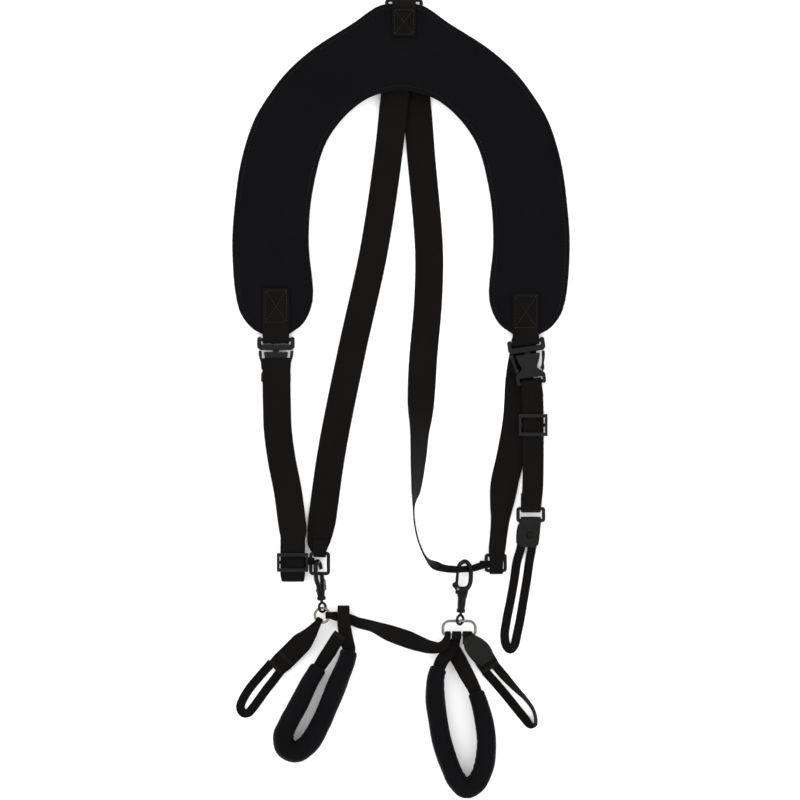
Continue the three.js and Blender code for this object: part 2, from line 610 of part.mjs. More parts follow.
place(harness, 'left_loop_web', ribbon([
  [-52, -207, 2.2, 0, 0, 10],
  [-52, -197, 2.2, 0, 0, 11],
  [-52, -192.2, 3.4, 0, 0, 11],
  [-52, -190.2, 7.2, 0, 0, 11],
  [-52, -192.2, 11, 0, 0, 11],
  [-52, -197, 12.3, 0, 0, 11],
  [-51.6, -206, 12, 0, 0, 12],
  [-50.4, -214, 12, 0, 14, 13],
  [-48.8, -222, 12.4, 0, 52, 15.5],
  ...standing(LEFT_LOOP, NARROW),
  [-69.4, -238, 14, 148, 60, 17],
  [-65, -231.4, 15.2, 146, 26, 14],
  [-60.8, -224.4, 15.9, 146, 4, 12.4],
  [-56.4, -218, 15.6, 146, 0, 13],
  [-54.4, -214.8, 15.5, 146, 0, 12],
]), webbing);
place(harness, 'left_loop_sleeve', sleeve(standing(LEFT_LOOP, NARROW), 16.4), neoprene);
place(harness, 'right_loop_web', ribbon([
  ...turn(beside(RIGHT_D, -2.2, D_BAR), -90, D_WIRE, -1, 4, 8.4),
  [49.8, -220.4, 5.6, -6, 0, 8.4],
  [47, -226, 5.6, -12, 4, 12],
  [41.6, -233.6, 8, -20, 25, 16],
  [37, -239.6, 11.6, -14, 70, 17],
  ...standing(RIGHT_LOOP, NARROW),
  [63.6, -259.6, 12.4, 208, 62, 18],
  [59.4, -252, 10.6, 208, 30, 18],
  [54, -242, 7, 208, 10, 17],
  [49, -233, 4, 208, 0, 15],
  [46.4, -228.6, 2.4, 208, 0, 13],
]), webbing);
place(harness, 'right_loop_sleeve', sleeve(standing(RIGHT_LOOP, NARROW), 16.2), neoprene);

export default harness;
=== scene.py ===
"""Looks of the two-shoulder instrument harness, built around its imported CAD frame.

Lengths in this file are millimetres until a mesh is made, where MM turns them into metres.
Left and right are the sides seen from above with the nape at the top (+Y)."""
import random
from math import ceil, copysign, cos, exp, pi, radians, sin

import bmesh
import bpy
from mathutils import Matrix, Vector, noise


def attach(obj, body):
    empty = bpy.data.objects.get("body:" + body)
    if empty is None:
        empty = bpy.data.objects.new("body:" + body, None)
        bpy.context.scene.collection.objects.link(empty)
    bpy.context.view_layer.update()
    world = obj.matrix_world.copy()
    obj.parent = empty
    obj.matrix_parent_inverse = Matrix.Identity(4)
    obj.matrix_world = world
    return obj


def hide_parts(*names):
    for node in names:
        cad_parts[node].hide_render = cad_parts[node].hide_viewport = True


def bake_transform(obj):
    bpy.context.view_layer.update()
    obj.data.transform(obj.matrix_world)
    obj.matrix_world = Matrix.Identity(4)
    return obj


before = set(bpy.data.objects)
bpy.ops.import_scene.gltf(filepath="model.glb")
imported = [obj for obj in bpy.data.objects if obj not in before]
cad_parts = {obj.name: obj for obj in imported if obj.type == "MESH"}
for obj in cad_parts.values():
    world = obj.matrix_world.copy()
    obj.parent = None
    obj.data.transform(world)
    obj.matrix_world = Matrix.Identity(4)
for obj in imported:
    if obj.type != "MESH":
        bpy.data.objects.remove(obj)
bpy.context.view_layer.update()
random.seed(7)

MM = 0.001
WIDE = 25.4          # main webbing
NARROW = 19.0        # loop and accessory webbing
THIN = 8.0           # thin webbing of the instrument loops
WEB = 1.5            # webbing thickness
THIN_WEB = 1.2       # thickness of the thin webbing
GAP = 0.4            # clearance kept between touching pieces
WIRE = 1.5           # radius of plastic ring stock
BAR = 1.7            # radius of a buckle's web bar
PAD = 5.0            # neoprene pad
LINING = 1.0         # soft lining
LAYER_GAP = 0.8      # between the lining and the pad
NAPE_LIFT = 9.4      # the pad rides over the back strap here
YOKE_TOP = LINING + LAYER_GAP + PAD
TACK_LIFT = 0.82     # stitches sit this far above a web's middle
FEMALE_BAR = 37.0    # from the male half's bar to the female half's
RIGHT_LEAN = 8       # degrees that the right buckle leans
SLEEVE_Z = 13.0      # middle height of the padded sleeves

# where each hard part lies: x, y, z of its middle, or of a buckle's upper bar
BUCKLE_Z = 6.6
LEFT_BUCKLE = (-113.2, 51, BUCKLE_Z)
RIGHT_BUCKLE = (113, 49, BUCKLE_Z)
NAPE_RING = (2.7, 353, 5.2)
LOWER_LEFT_RING = (-73.6, -151.5, 9.2)
LOWER_RIGHT_LINK = (85.7, -151, 8)
LOOP_RING = (117.6, -107.4, 5)
LEFT_RING = (-71.4, -198.4, 9.6)
RIGHT_RING = (52.6, -209.8, 8)
FRONT_GLIDE = (-98.1, -150.6, 8.8)
ACCESSORY_GLIDE = (119.7, -26.3, 6.1)


def smoothstep(low, high, value):
    t = min(1.0, max(0.0, (value - low) / (high - low)))
    return t * t * (3 - 2 * t)


# ---- camera, light and floor
CAMERA_HEIGHT = 4.0      # metres, far enough to look straight down on the whole harness
VIEW_WIDTH = 0.7256      # metres of floor across the frame
FRAME_X = -0.0009        # the harness sits a touch right of the frame's middle
FRAME_Y = -0.0036        # and its nape tab meets the frame's top edge


def new_object(name, data):
    made = bpy.data.objects.new(name, data)
    bpy.context.collection.objects.link(made)
    return made


def make_camera():
    data = bpy.data.cameras.new("camera")
    data.sensor_width = 36
    data.lens = data.sensor_width * CAMERA_HEIGHT / VIEW_WIDTH
    data.clip_end = 50
    camera = new_object("camera", data)
    camera.location = (FRAME_X, FRAME_Y, CAMERA_HEIGHT)
    bpy.context.scene.camera = camera


def make_light():
    def area(name, size, power, at):
        data = bpy.data.lights.new(name, "AREA")
        data.shape = "DISK"
        data.size = size
        data.energy = power
        light = new_object(name, data)
        light.location = at
        light.rotation_euler = (-Vector(at)).to_track_quat("-Z", "Y").to_euler()

    area("key", 1.6, 15, (-1.1, 1.2, 2.2))
    area("fill", 1.8, 8, (1.5, -0.4, 2.0))
    world = bpy.data.worlds.new("studio")
    world.use_nodes = True
    sky = world.node_tree.nodes["Background"]
    sky.inputs["Color"].default_value = (1, 1, 1, 1)
    sky.inputs["Strength"].default_value = 1.75
    bpy.context.scene.world = world
    settings = bpy.context.scene.view_settings
    settings.view_transform = "Standard"
    settings.exposure = 0.0


def make_floor():
    mesh = bpy.data.meshes.new("floor")
    half = 6.0       # metres
    corners = [(-half, -half, 0), (half, -half, 0), (half, half, 0), (-half, half, 0)]
    mesh.from_pydata(corners, [], [(0, 1, 2, 3)])
    floor = new_object("floor", mesh)
    floor.location.z = -0.0004       # a hair below the lowest strap
    material = bpy.data.materials.new("floor")
    material.use_nodes = True
    shader = material.node_tree.nodes["Principled BSDF"]
    shader.inputs["Base Color"].default_value = (0.96, 0.96, 0.96, 1)
    shader.inputs["Roughness"].default_value = 0.9
    shader.inputs["Specular IOR Level"].default_value = 0.1
    mesh.materials.append(material)


# ---- materials
class Nodes:
    """Short names for building a node tree."""

    def __init__(self, name, base, roughness, specular=0.5, metallic=0.0):
        self.material = bpy.data.materials.new(name)
        self.material.use_nodes = True
        self.tree = self.material.node_tree
        self.shader = self.tree.nodes["Principled BSDF"]
        self.set("Base Color", (*base, 1))
        self.set("Roughness", roughness)
        self.set("Specular IOR Level", specular)
        self.set("Metallic", metallic)

    def set(self, socket, value):
        if isinstance(value, bpy.types.NodeSocket):
            self.tree.links.new(value, self.shader.inputs[socket])
        else:
            self.shader.inputs[socket].default_value = value

    def node(self, kind, **inputs):
        """A new node with its sockets set by name, or by number as i0, i1 and so on."""
        made = self.tree.nodes.new(kind)
        for key, value in inputs.items():
            numbered = key[0] == "i" and key[1:].isdigit()
            socket = made.inputs[int(key[1:]) if numbered else key]
            if isinstance(value, bpy.types.NodeSocket):
                self.tree.links.new(value, socket)
            else:
                socket.default_value = value
        return made

    def math(self, operation, a, b=0.0):
        made = self.node("ShaderNodeMath", i0=a, i1=b)
        made.operation = operation
        return made.outputs[0]

    def plus(self, a, b):
        return self.math("ADD", a, b)

    def times(self, a, b):
        return self.math("MULTIPLY", a, b)

    def uv(self):
        split = self.node("ShaderNodeSeparateXYZ", i0=self.node("ShaderNodeUVMap").outputs[0])
        return split.outputs[0], split.outputs[1]

    def noise(self, scale, detail=3.0, rough=0.55):
        place = self.node("ShaderNodeTexCoord").outputs["Object"]
        made = self.node("ShaderNodeTexNoise", Vector=place, Scale=scale, Detail=detail, Roughness=rough)
        return made.outputs["Fac"]

    def range(self, value, low, high, to_low, to_high):
        made = self.node("ShaderNodeMapRange", i0=value, i1=low, i2=high, i3=to_low, i4=to_high)
        return made.outputs[0]

    def tint(self, factor, low, high):
        made = self.node("ShaderNodeMix", i0=factor)
        made.data_type = "RGBA"
        made.inputs[6].default_value = (*low, 1)
        made.inputs[7].default_value = (*high, 1)
        return made.outputs[2]

    def relief(self, height, distance, strength, under=None):
        """A bump of `distance` metres laid over the bump `under`."""
        made = self.node("ShaderNodeBump", Height=height, Distance=distance, Strength=strength)
        if under is not None:
            self.tree.links.new(under, made.inputs["Normal"])
        return made.outputs[0]

    def bump(self, height, distance, strength, under=None):
        self.set("Normal", self.relief(height, distance, strength, under))

    def wave(self, value, pitch):
        """A ridge for each `pitch` of the value, 0 at its edges and 1 at its middle."""
        turns = self.times(self.math("DIVIDE", value, pitch), pi)
        return self.math("ABSOLUTE", self.math("SINE", turns))


def web_material(name, rib, pitch, dark, light):
    """Woven webbing: chevron columns `rib` mm wide, picks `pitch` mm apart along the strap."""
    n = Nodes(name, dark, 0.72, 0.045)
    across, along = n.uv()
    zigzag = n.math("FRACT", n.math("DIVIDE", across, 2 * rib))
    fold = n.math("ABSOLUTE", n.math("SUBTRACT", zigzag, 0.5))
    slant = n.plus(n.math("DIVIDE", along, pitch), n.times(fold, 2.4))
    pick = n.math("ABSOLUTE", n.math("SINE", n.times(slant, pi)))
    column = n.wave(across, rib)
    weave = n.times(n.math("POWER", pick, 0.6), n.math("POWER", column, 0.5))
    fuzz = n.noise(900, 2)
    patches = n.noise(26, 3)
    shade = n.plus(n.times(weave, 0.7), n.times(patches, 0.5))
    n.set("Base Color", n.tint(shade, dark, light))
    n.set("Roughness", n.range(n.plus(weave, fuzz), 0.2, 1.8, 0.86, 0.58))
    n.set("Sheen Weight", 0.009)
    n.set("Sheen Roughness", 0.5)
    n.bump(fuzz, 0.00006, 0.5, n.relief(weave, 0.00022, 0.9))
    return n.material


def neoprene_material(name, dark, light, knit=1.1):
    """Foam faced with jersey `knit` mm a row: rows of tiny loops, soft marks, faint sheen."""
    n = Nodes(name, dark, 0.85, 0.05)
    place = n.node("ShaderNodeTexCoord").outputs["Object"]
    split = n.node("ShaderNodeSeparateXYZ", i0=place)
    count = pi / (knit * MM)
    rows = n.math("SINE", n.times(split.outputs[1], count))
    swayed = n.plus(split.outputs[0], n.times(rows, 0.12 * knit * MM))
    wales = n.math("SINE", n.times(swayed, count * 1.3))
    knitted = n.times(n.math("ABSOLUTE", rows), n.math("ABSOLUTE", wales))
    cloud = n.noise(16, 4)
    fuzz = n.noise(1400, 2)
    shade = n.plus(n.times(cloud, 0.8), n.times(knitted, 0.35))
    n.set("Base Color", n.tint(shade, dark, light))
    n.set("Roughness", n.range(fuzz, 0.3, 0.7, 0.78, 0.95))
    n.set("Sheen Weight", 0.012)
    n.set("Sheen Roughness", 0.4)
    loops = n.relief(knitted, 0.00012, 0.7)
    n.bump(fuzz, 0.00004, 0.5, n.relief(cloud, 0.0012, 0.35, loops))
    return n.material


def plastic_material(name):
    """Moulded black acetal: fine spark-eroded grain, softer worn edges."""
    n = Nodes(name, (0.003, 0.003, 0.0032), 0.36, 0.12)
    grain = n.noise(1600, 2)
    worn = n.noise(60, 4)
    edge = n.node("ShaderNodeNewGeometry").outputs["Pointiness"]
    wear = n.times(n.range(edge, 0.5, 0.62, 0, 1), worn)
    n.set("Base Color", n.tint(wear, (0.0016, 0.0016, 0.0018), (0.010, 0.0097, 0.0094)))
    rubbed = n.plus(worn, n.times(grain, 0.3))
    n.set("Roughness", n.range(rubbed, 0.3, 0.9, 0.24, 0.5))
    n.bump(grain, 0.00005, 0.5)
    return n.material


def metal_material(name, low, high, rough):
    """Plated or blackened metal: cloudy tarnish and fine drawn lines."""
    n = Nodes(name, low, rough, 0.5, 1.0)
    tarnish = n.noise(180, 4)
    place = n.node("ShaderNodeTexCoord").outputs["Object"]
    stretched = n.node("ShaderNodeMapping", Vector=place, Scale=(1, 9, 1)).outputs[0]
    lines = n.node("ShaderNodeTexNoise", Vector=stretched, Scale=700.0, Detail=3.0).outputs["Fac"]
    n.set("Base Color", n.tint(tarnish, low, high))
    scratched = n.plus(tarnish, n.times(lines, 0.35))
    n.set("Roughness", n.range(scratched, 0.3, 1.0, rough * 0.7, rough * 1.7))
    n.bump(lines, 0.00002, 0.4)
    return n.material


def leather_material(name):
    """Black leather: a pebbled grain over broad soft creases."""
    n = Nodes(name, (0.012, 0.0118, 0.0108), 0.55, 0.12)
    place = n.node("ShaderNodeTexCoord").outputs["Object"]
    cells = n.node("ShaderNodeTexVoronoi", Vector=place, Scale=900.0)
    cells.feature = "DISTANCE_TO_EDGE"
    pebble = n.range(cells.outputs["Distance"], 0.0, 0.35, 0, 1)
    broad = n.noise(70, 4)
    shade = n.times(pebble, broad)
    n.set("Base Color", n.tint(shade, (0.0018, 0.0018, 0.0015), (0.0085, 0.0082, 0.0072)))
    n.set("Roughness", n.range(pebble, 0, 1, 0.72, 0.46))
    n.bump(broad, 0.0006, 0.4, n.relief(pebble, 0.00016, 0.8))
    return n.material


def thread_material(name):
    """Bonded thread, a little paler than the webbing, with a fibrous surface."""
    n = Nodes(name, (0.0075, 0.0068, 0.0064), 0.5, 0.12)
    n.bump(n.noise(2500, 2), 0.00008, 0.8)
    return n.material


MATERIALS = {
    "webbing": web_material("webbing", 1.6, 1.25, (0.0004, 0.0003, 0.0002), (0.0032, 0.0026, 0.0023)),
    "thin_web": web_material("thin_web", 1.1, 0.9, (0.0007, 0.0005, 0.0004), (0.0030, 0.0024, 0.0022)),
    "neoprene": neoprene_material("neoprene", (0.0007, 0.0007, 0.0009), (0.0026, 0.0026, 0.0033)),
    "lining": neoprene_material("lining", (0.0012, 0.0012, 0.0014), (0.0036, 0.0036, 0.0040), 1.6),
    "plastic": plastic_material("plastic"),
    "leather": leather_material("leather"),
    "nickel": metal_material("nickel", (0.07, 0.066, 0.06), (0.22, 0.205, 0.18), 0.16),
    "dark_steel": metal_material("dark_steel", (0.0035, 0.0035, 0.0035), (0.016, 0.0155, 0.015), 0.2),
    "thread": thread_material("thread"),
}


# ---- mesh helpers
def piece(name, mesh, slot, body, replaces=()):
    """A finished piece that rides on a body and stands for the CAD nodes it replaces."""
    made = new_object(name, mesh)
    mesh.materials.append(MATERIALS[slot])
    for polygon in mesh.polygons:
        polygon.use_smooth = True
    if body:
        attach(made, body)
    if replaces:
        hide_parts(*replaces)
    return made


def loft(rings, closed=False, uvs=None):
    """One skin through rings of points in millimetres. uvs gives (u, v) for each ring's points."""
    size = len(rings[0])
    count = len(rings)
    points = [Vector(p) * MM for ring in rings for p in ring]
    faces = []
    for i in range(count if closed else count - 1):
        for j in range(size):
            a, b = i * size, ((i + 1) % count) * size
            faces.append((a + j, a + (j + 1) % size, b + (j + 1) % size, b + j))
    if not closed:
        faces.append(tuple(range(size - 1, -1, -1)))
        faces.append(tuple(range((count - 1) * size, count * size)))
    mesh = bpy.data.meshes.new("loft")
    mesh.from_pydata(points, [], faces)
    if uvs:
        flat = [uv for ring in uvs for uv in ring]
        layer = mesh.uv_layers.new(name="UVMap")
        for loop in mesh.loops:
            layer.data[loop.index].uv = flat[loop.vertex_index]
    fix_normals(mesh)
    return mesh


def fix_normals(mesh):
    work = bmesh.new()
    work.from_mesh(mesh)
    bmesh.ops.recalc_face_normals(work, faces=work.faces)
    work.to_mesh(mesh)
    work.free()


def join_meshes(name, meshes):
    work = bmesh.new()
    for mesh in meshes:
        work.from_mesh(mesh)
    whole = bpy.data.meshes.new(name)
    work.to_mesh(whole)
    work.free()
    return whole


def spline(points, steps_by_span):
    """Centripetal Catmull-Rom through the points: (point, span, fraction of the span) for each."""
    pts = [Vector(p) for p in points]
    last = len(pts) - 1
    out = []
    for k, steps in enumerate(steps_by_span):
        p1, p2 = pts[k], pts[k + 1]
        p0 = pts[k - 1] if k > 0 else p1 * 2 - p2
        p3 = pts[k + 2] if k + 2 <= last else p2 * 2 - p1
        d = [max((b - a).length ** 0.5, 1e-4) for a, b in ((p0, p1), (p1, p2), (p2, p3))]
        m1 = ((p1 - p0) / d[0] - (p2 - p0) / (d[0] + d[1]) + (p2 - p1) / d[1]) * d[1]
        m2 = ((p2 - p1) / d[1] - (p3 - p1) / (d[1] + d[2]) + (p3 - p2) / d[2]) * d[1]
        for i in range(steps):
            t = i / steps
            at = (2 * t ** 3 - 3 * t ** 2 + 1) * p1 + (t ** 3 - 2 * t ** 2 + t) * m1
            at = at + (3 * t ** 2 - 2 * t ** 3) * p2 + (t ** 3 - t ** 2) * m2
            out.append((at, k, t))
    out.append((pts[-1], last - 1, 1.0))
    return out


def even_spline(points, steps):
    """Only the points of a spline with the same number of steps in each span."""
    return [p for p, _, _ in spline(points, [steps] * (len(points) - 1))]


def eased(a, b, c, d, t):
    """A smooth value between b and c that never passes either; a and d are their neighbours."""
    value = b + 0.5 * t * (c - a + t * (2 * a - 5 * b + 4 * c - d + t * (3 * (b - c) + d - a)))
    return min(max(value, min(b, c)), max(b, c))


def route(stations, pace):
    """Frames along stations of [x, y, z, heading, tilt, width]: point, across, up, width, distance.

    heading is the plan direction across the web and tilt lifts that side, both in degrees.
    Where they are left out, tilt is 0 and width is the main webbing's."""
    stations = [[*s, *(0, WIDE)[len(s) - 4:]] for s in stations]
    last = len(stations) - 1

    def value(n, k, t):
        near = [min(max(k + step, 0), last) for step in (-1, 0, 1, 2)]
        return eased(*(stations[j][n] for j in near), t)

    places = [Vector(s[:3]) for s in stations]
    lengths = [(a - b).length for a, b in zip(places, places[1:])]
    samples = spline(places, [max(3, ceil(n / pace)) for n in lengths])
    frames = []
    run = 0.0
    for i, (at, k, t) in enumerate(samples):
        before = samples[i - 1][0] if i else at
        after = samples[i + 1][0] if i + 1 < len(samples) else at
        along = (after - before).normalized()
        heading, tilt = radians(value(3, k, t)), radians(value(4, k, t))
        level = cos(tilt)
        across = Vector((cos(heading) * level, sin(heading) * level, sin(tilt)))
        across = (across - along * across.dot(along)).normalized()
        if i:
            run += (at - samples[i - 1][0]).length
        frames.append((at, across, along.cross(across).normalized(), value(5, k, t), run))
    return frames


def web_profile(width, thick):
    """Section of flat webbing: level faces, rounded selvedges that stand a little proud."""
    half, h = width / 2, thick / 2
    slope = [(half * 0.5, h * 0.95), (half - 1.8, h * 0.92), (half - 0.9, h * 0.98)]
    top = [(-x, y) for x, y in reversed(slope)] + [(0, h)] + slope
    side = [(half - 0.25, h * 0.7), (half, 0), (half - 0.25, -h * 0.7)]
    return top + side + [(-x, -y) for x, y in top] + [(-x, -y) for x, y in side]


def ribbon(frames, thick, ripple, seed):
    """Webbing along the frames: its edges rise and fall by `ripple`, its middle by less."""
    rings, uvs = [], []
    for at, across, up, width, run in frames:
        ring, uv = [], []
        for x, y in web_profile(width, thick):
            edge = abs(2 * x / width) ** 2
            place = Vector((run * 0.05, copysign(7, x) + seed, seed))
            lift = ripple * edge * noise.noise(place)
            lift += 0.4 * ripple * noise.noise(Vector((run * 0.022, seed, 3.1)))
            ring.append(at + across * x + up * (y + lift))
            uv.append((x + 50, run))
        rings.append(ring)
        uvs.append(uv)
    return loft(rings, False, uvs)


def circle(radius, count):
    """That many points round a circle, from +X towards +Y."""
    angles = [2 * pi * j / count for j in range(count)]
    return [(radius * cos(t), radius * sin(t)) for t in angles]


def tube(points, radius, sides=16, closed=False):
    """Round stock along points; radius may be a function of the fraction along."""
    pts = [Vector(p) for p in points]
    count = len(pts)
    rings = []
    reference = Vector((0, 0, 1))
    for i, at in enumerate(pts):
        before = pts[i - 1] if i or closed else at
        after = pts[(i + 1) % count] if i + 1 < count or closed else at
        along = (after - before).normalized()
        side = along.cross(reference)
        if side.length < 1e-3:
            side = along.cross(Vector((1, 0, 0)))
        side.normalize()
        lift = side.cross(along).normalized()
        r = radius(i / max(1, count - 1)) if callable(radius) else radius
        rings.append([at + side * x + lift * y for x, y in circle(r, sides)])
    return loft(rings, closed)


def turn(bar, run, r, side, tail, width, heading=None):
    """Stations of a web end round a bar of radius r, from its tail to plan direction `run`.

    side is 1 where the tail is under the bar and -1 where it is over it. Reversed with [::-1],
    the web arrives at the bar instead."""
    reach = r + GAP + WEB / 2
    a = radians(run)
    round_bar = [radians(d) for d in (-90, -135, 180, 135, 90)]
    turned = [(tail, -reach)] + [(reach * cos(d), reach * sin(d)) for d in round_bar]
    face = run + 90 if heading is None else heading
    return [[bar[0] + cos(a) * along, bar[1] + sin(a) * along, bar[2] + side * lift,
             face, 0, width] for along, lift in turned]


def level_stations(points, heading, width):
    return [[x, y, z, heading, 0, width] for x, y, z in points]


def strap(name, stations, node, slot="webbing", body="harness", thick=WEB, seed=0.0, ripple=0.22,
          pace=2.2):
    """A piece of webbing in place of a CAD node, with a ring of points each `pace` mm or so."""
    frames = route(stations, pace)
    made = piece(name, ribbon(frames, thick, ripple, seed), slot, body, (node,))
    return made, frames


# ---- stitching
BEAD = [(-0.5, 0.25), (-0.3, 0.85), (0, 1.0), (0.3, 0.85), (0.5, 0.25)]    # (along, thickness)
BEAD_SIDES = 6


def bead(at, along, length, radius):
    """The points of one stitch, ring by ring: a short, fat, pointed thread."""
    along = along.normalized()
    side = along.cross(Vector((0, 0, 1)))
    side = side.normalized() if side.length > 1e-3 else Vector((1, 0, 0))
    lift = side.cross(along)
    points = []
    for t, size in BEAD:
        middle = at + along * (length * t)
        points += [middle + side * x + lift * y for x, y in circle(radius * size, BEAD_SIDES)]
    return points


def bead_faces(base):
    """The faces of the stitch whose points start at `base`."""
    faces = []
    for i in range(len(BEAD) - 1):
        low = base + i * BEAD_SIDES
        high = low + BEAD_SIDES
        for j in range(BEAD_SIDES):
            k = (j + 1) % BEAD_SIDES
            faces.append((low + j, low + k, high + k, high + j))
    faces.append(tuple(base + j for j in range(BEAD_SIDES - 1, -1, -1)))
    faces.append(tuple(high + j for j in range(BEAD_SIDES)))
    return faces


def stitches(name, lines, body, length=2.3, step=3.0, radius=0.34):
    """A row of stitches along each line of surface points."""
    points, faces = [], []
    for line in lines:
        pts = [Vector(p) for p in line]
        run, left = 0.0, step / 2
        for a, b in zip(pts, pts[1:]):
            gap = (b - a).length
            while gap > 1e-6 and run + gap >= left:
                at = a.lerp(b, (left - run) / gap)
                wobble = random.uniform(-0.06, 0.06)
                along = (b - a) + Vector((wobble, wobble, 0)) * gap
                faces += bead_faces(len(points))
                points += [p * MM for p in bead(at, along, length, radius)]
                left += step
            run += gap
    mesh = bpy.data.meshes.new(name)
    mesh.from_pydata(points, [], faces)
    fix_normals(mesh)
    piece(name, mesh, "thread", body)


def on_web(frames, run, offset, lift):
    """The point `offset` across and `lift` above a strap's middle, `run` along it."""
    run = min(max(run, frames[0][4]), frames[-1][4])
    for a, b in zip(frames, frames[1:]):
        if b[4] >= run:
            t = (run - a[4]) / max(1e-6, b[4] - a[4])
            at, across, up = (a[n].lerp(b[n], t) for n in range(3))
            return at + across * offset + up * lift
    return frames[-1][0]


def web_line(frames, start, end, lift, parts=8):
    """A straight line across a strap from (run, offset) to (run, offset)."""
    (run, offset), (far, far_offset) = start, end
    return [on_web(frames, run + (far - run) * i / parts, offset + (far_offset - offset) * i / parts, lift)
            for i in range(parts + 1)]


def web_path(frames, corners, lift):
    """The straight lines of a sewn outline, from corner to corner."""
    return [web_line(frames, a, b, lift) for a, b in zip(corners, corners[1:])]


def side_lift(frames, run):
    """The lift that puts stitches on the upward face of the strap at that distance."""
    above = on_web(frames, run, 0, 1).z - on_web(frames, run, 0, -1).z
    return TACK_LIFT if above > 0 else -TACK_LIFT


def box_stitch(name, frames, start, end, half, lift):
    """The square with an X inside that holds a sewn web end."""
    corners = [(start, -half), (end, -half), (end, half), (start, half), (start, -half)]
    lines = web_path(frames, corners, lift)
    lines.append(web_line(frames, corners[0], corners[2], lift))
    lines.append(web_line(frames, corners[1], corners[3], lift))
    stitches(name, lines, "harness")


def bar_tack(name, frames, run, half, lift, body):
    """Three dense rows of stitches across a web."""
    rows = [run + k * 0.9 for k in range(3)]
    lines = [web_line(frames, (row, -half), (row, half), lift, 4) for row in rows]
    stitches(name, lines, body, 1.5, 1.7, 0.38)


def edge_stitch(name, lines, body):
    """Fine stitches that follow the edge of a leather piece."""
    stitches(name, lines, body, 1.9, 2.5, 0.3)


# ---- yoke
YOKE_OUTER = [(0, 355), (19, 353.5), (43.5, 337.5), (79, 315.5), (103.5, 294), (120.5, 272), (133.5, 250),
              (145, 214), (150.5, 178), (153.3, 132), (147, 78), (136, 62), (126, 56)]
YOKE_INNER = [(0, 276), (14, 274), (30, 268.5), (46, 257), (58, 244), (66, 232), (72, 218),
              (78, 194), (82, 168), (83, 135), (79.5, 87), (88, 66), (101, 56)]


def nape_lift(x):
    """How far the back strap lifts the yoke at that distance from its middle."""
    t = min(1.0, max(0.0, (abs(x) - 28) / 62))
    return NAPE_LIFT * (1 + cos(pi * t)) / 2


def yoke_edge(half):
    """Both sides of an edge from its right half."""
    return even_spline([(-x, y, 0) for x, y in reversed(half[1:])] + [(x, y, 0) for x, y in half], 5)


def yoke_layer(low, thickness, inset, profile, crown=0.0, waves=0.0):
    """The horseshoe's skin, with its section's points given as (kind, distance, level 0 to 1).

    "in" and "out" points lie millimetres in from that edge, "mid" points a fraction across."""
    inner, outer = yoke_edge(YOKE_INNER), yoke_edge(YOKE_OUTER)
    rings = []
    last = len(inner) - 1
    for i, (a, b) in enumerate(zip(inner, outer)):
        way = b - a
        width = way.length
        way.normalize()
        end = min(i, last - i)
        ring = []
        for kind, d, level in profile:
            reach = {"in": inset + d, "out": width - inset - d, "mid": width * d}[kind]
            p = a + way * reach
            z = low + level * thickness
            if level > 0.5:
                across = min(1.0, max(0.0, reach / width))
                dome = crown * (1 - (2 * across - 1) ** 4)
                soft = waves * noise.noise(Vector((p.x * 0.016, p.y * 0.016, low)))
                z += (dome + soft) * smoothstep(-1, 5, end)
            ring.append(Vector((p.x, p.y, z + nape_lift(p.x))))
        rings.append(ring)
    return loft(rings)


def section(top, bottom, steps, round_in, groove=()):
    """A layer's section from the inner edge over the top to the outer edge and back below.

    top and bottom are fractions across, round_in is how far the rounded edges reach in, and
    groove is a sewn line in the top face beside each edge."""
    turns = [pi * i / steps for i in range(steps + 1)]
    arc = [(round_in * (1 - sin(a)), 0.5 + 0.5 * cos(a)) for a in turns]
    points = [("in", d, level) for d, level in reversed(groove)]
    points += [("mid", f, 1.0) for f in top]
    points += [("out", d, level) for d, level in groove]
    points += [("out", d, level) for d, level in arc]
    points += [("mid", f, 0.0) for f in bottom]
    return points + [("in", d, level) for d, level in reversed(arc)]


def make_yoke():
    across = (0.12, 0.2, 0.3, 0.4, 0.5, 0.6, 0.7, 0.8, 0.88)
    groove = ((4.6, 1.0), (4.0, 0.93), (3.4, 0.99))
    profile = section(across, (0.88, 0.7, 0.5, 0.3, 0.12), 8, 1.9, groove)
    mesh = yoke_layer(LINING + LAYER_GAP, PAD, 0.4, profile, 0.35, 0.9)
    pad = piece("yoke_pad_foam", mesh, "neoprene", "harness", ("yoke_pad",))
    profile = section((0.2, 0.5, 0.8), (0.8, 0.5, 0.2), 4, 0.45)
    mesh = yoke_layer(0, LINING + 0.5, 2.4, profile)
    piece("yoke_lining_knit", mesh, "lining", "harness", ("yoke_lining",))


def make_yoke_edge_stitch():
    """The sewn line that runs round the yoke just inside its edge."""
    inner, outer = yoke_edge(YOKE_INNER), yoke_edge(YOKE_OUTER)
    lines = []
    for edge, other in ((outer, inner), (inner, outer)):
        line = []
        for a, b in zip(edge, other):
            p = a + (b - a).normalized() * 4.4
            line.append(Vector((p.x, p.y, YOKE_TOP - 0.22 + nape_lift(p.x))))
        lines.append(line[1:-1])
    ends = [(lines[0][i], lines[1][i]) for i in (0, -1)]
    lines += [[p + (q - p) * f for f in (0, 0.25, 0.5, 0.75, 1)] for p, q in ends]
    stitches("yoke_edge_stitch", lines, "harness", 2.2, 3.1, 0.3)


def make_nape_tab():
    x, top = NAPE_RING[0], NAPE_LIFT + YOKE_TOP
    points = [(x, 324.7, top + 1.3), (x, 340, top + 1.3), (x, 351.5, top + 1.7),
              (x, 357.8, NAPE_LIFT + 4.6), (x, 361, 8.2), (x, 362.1, 5.4), (x, 360.8, 2.9), (x, 358, 2.2)]
    _, frames = strap("nape_tab_web", level_stations(points, 0, 21.5), "nape_tab", seed=1.0, ripple=0.1)
    box_stitch("nape_tab_stitch", frames, 2.2, 24, 8.6, -TACK_LIFT)


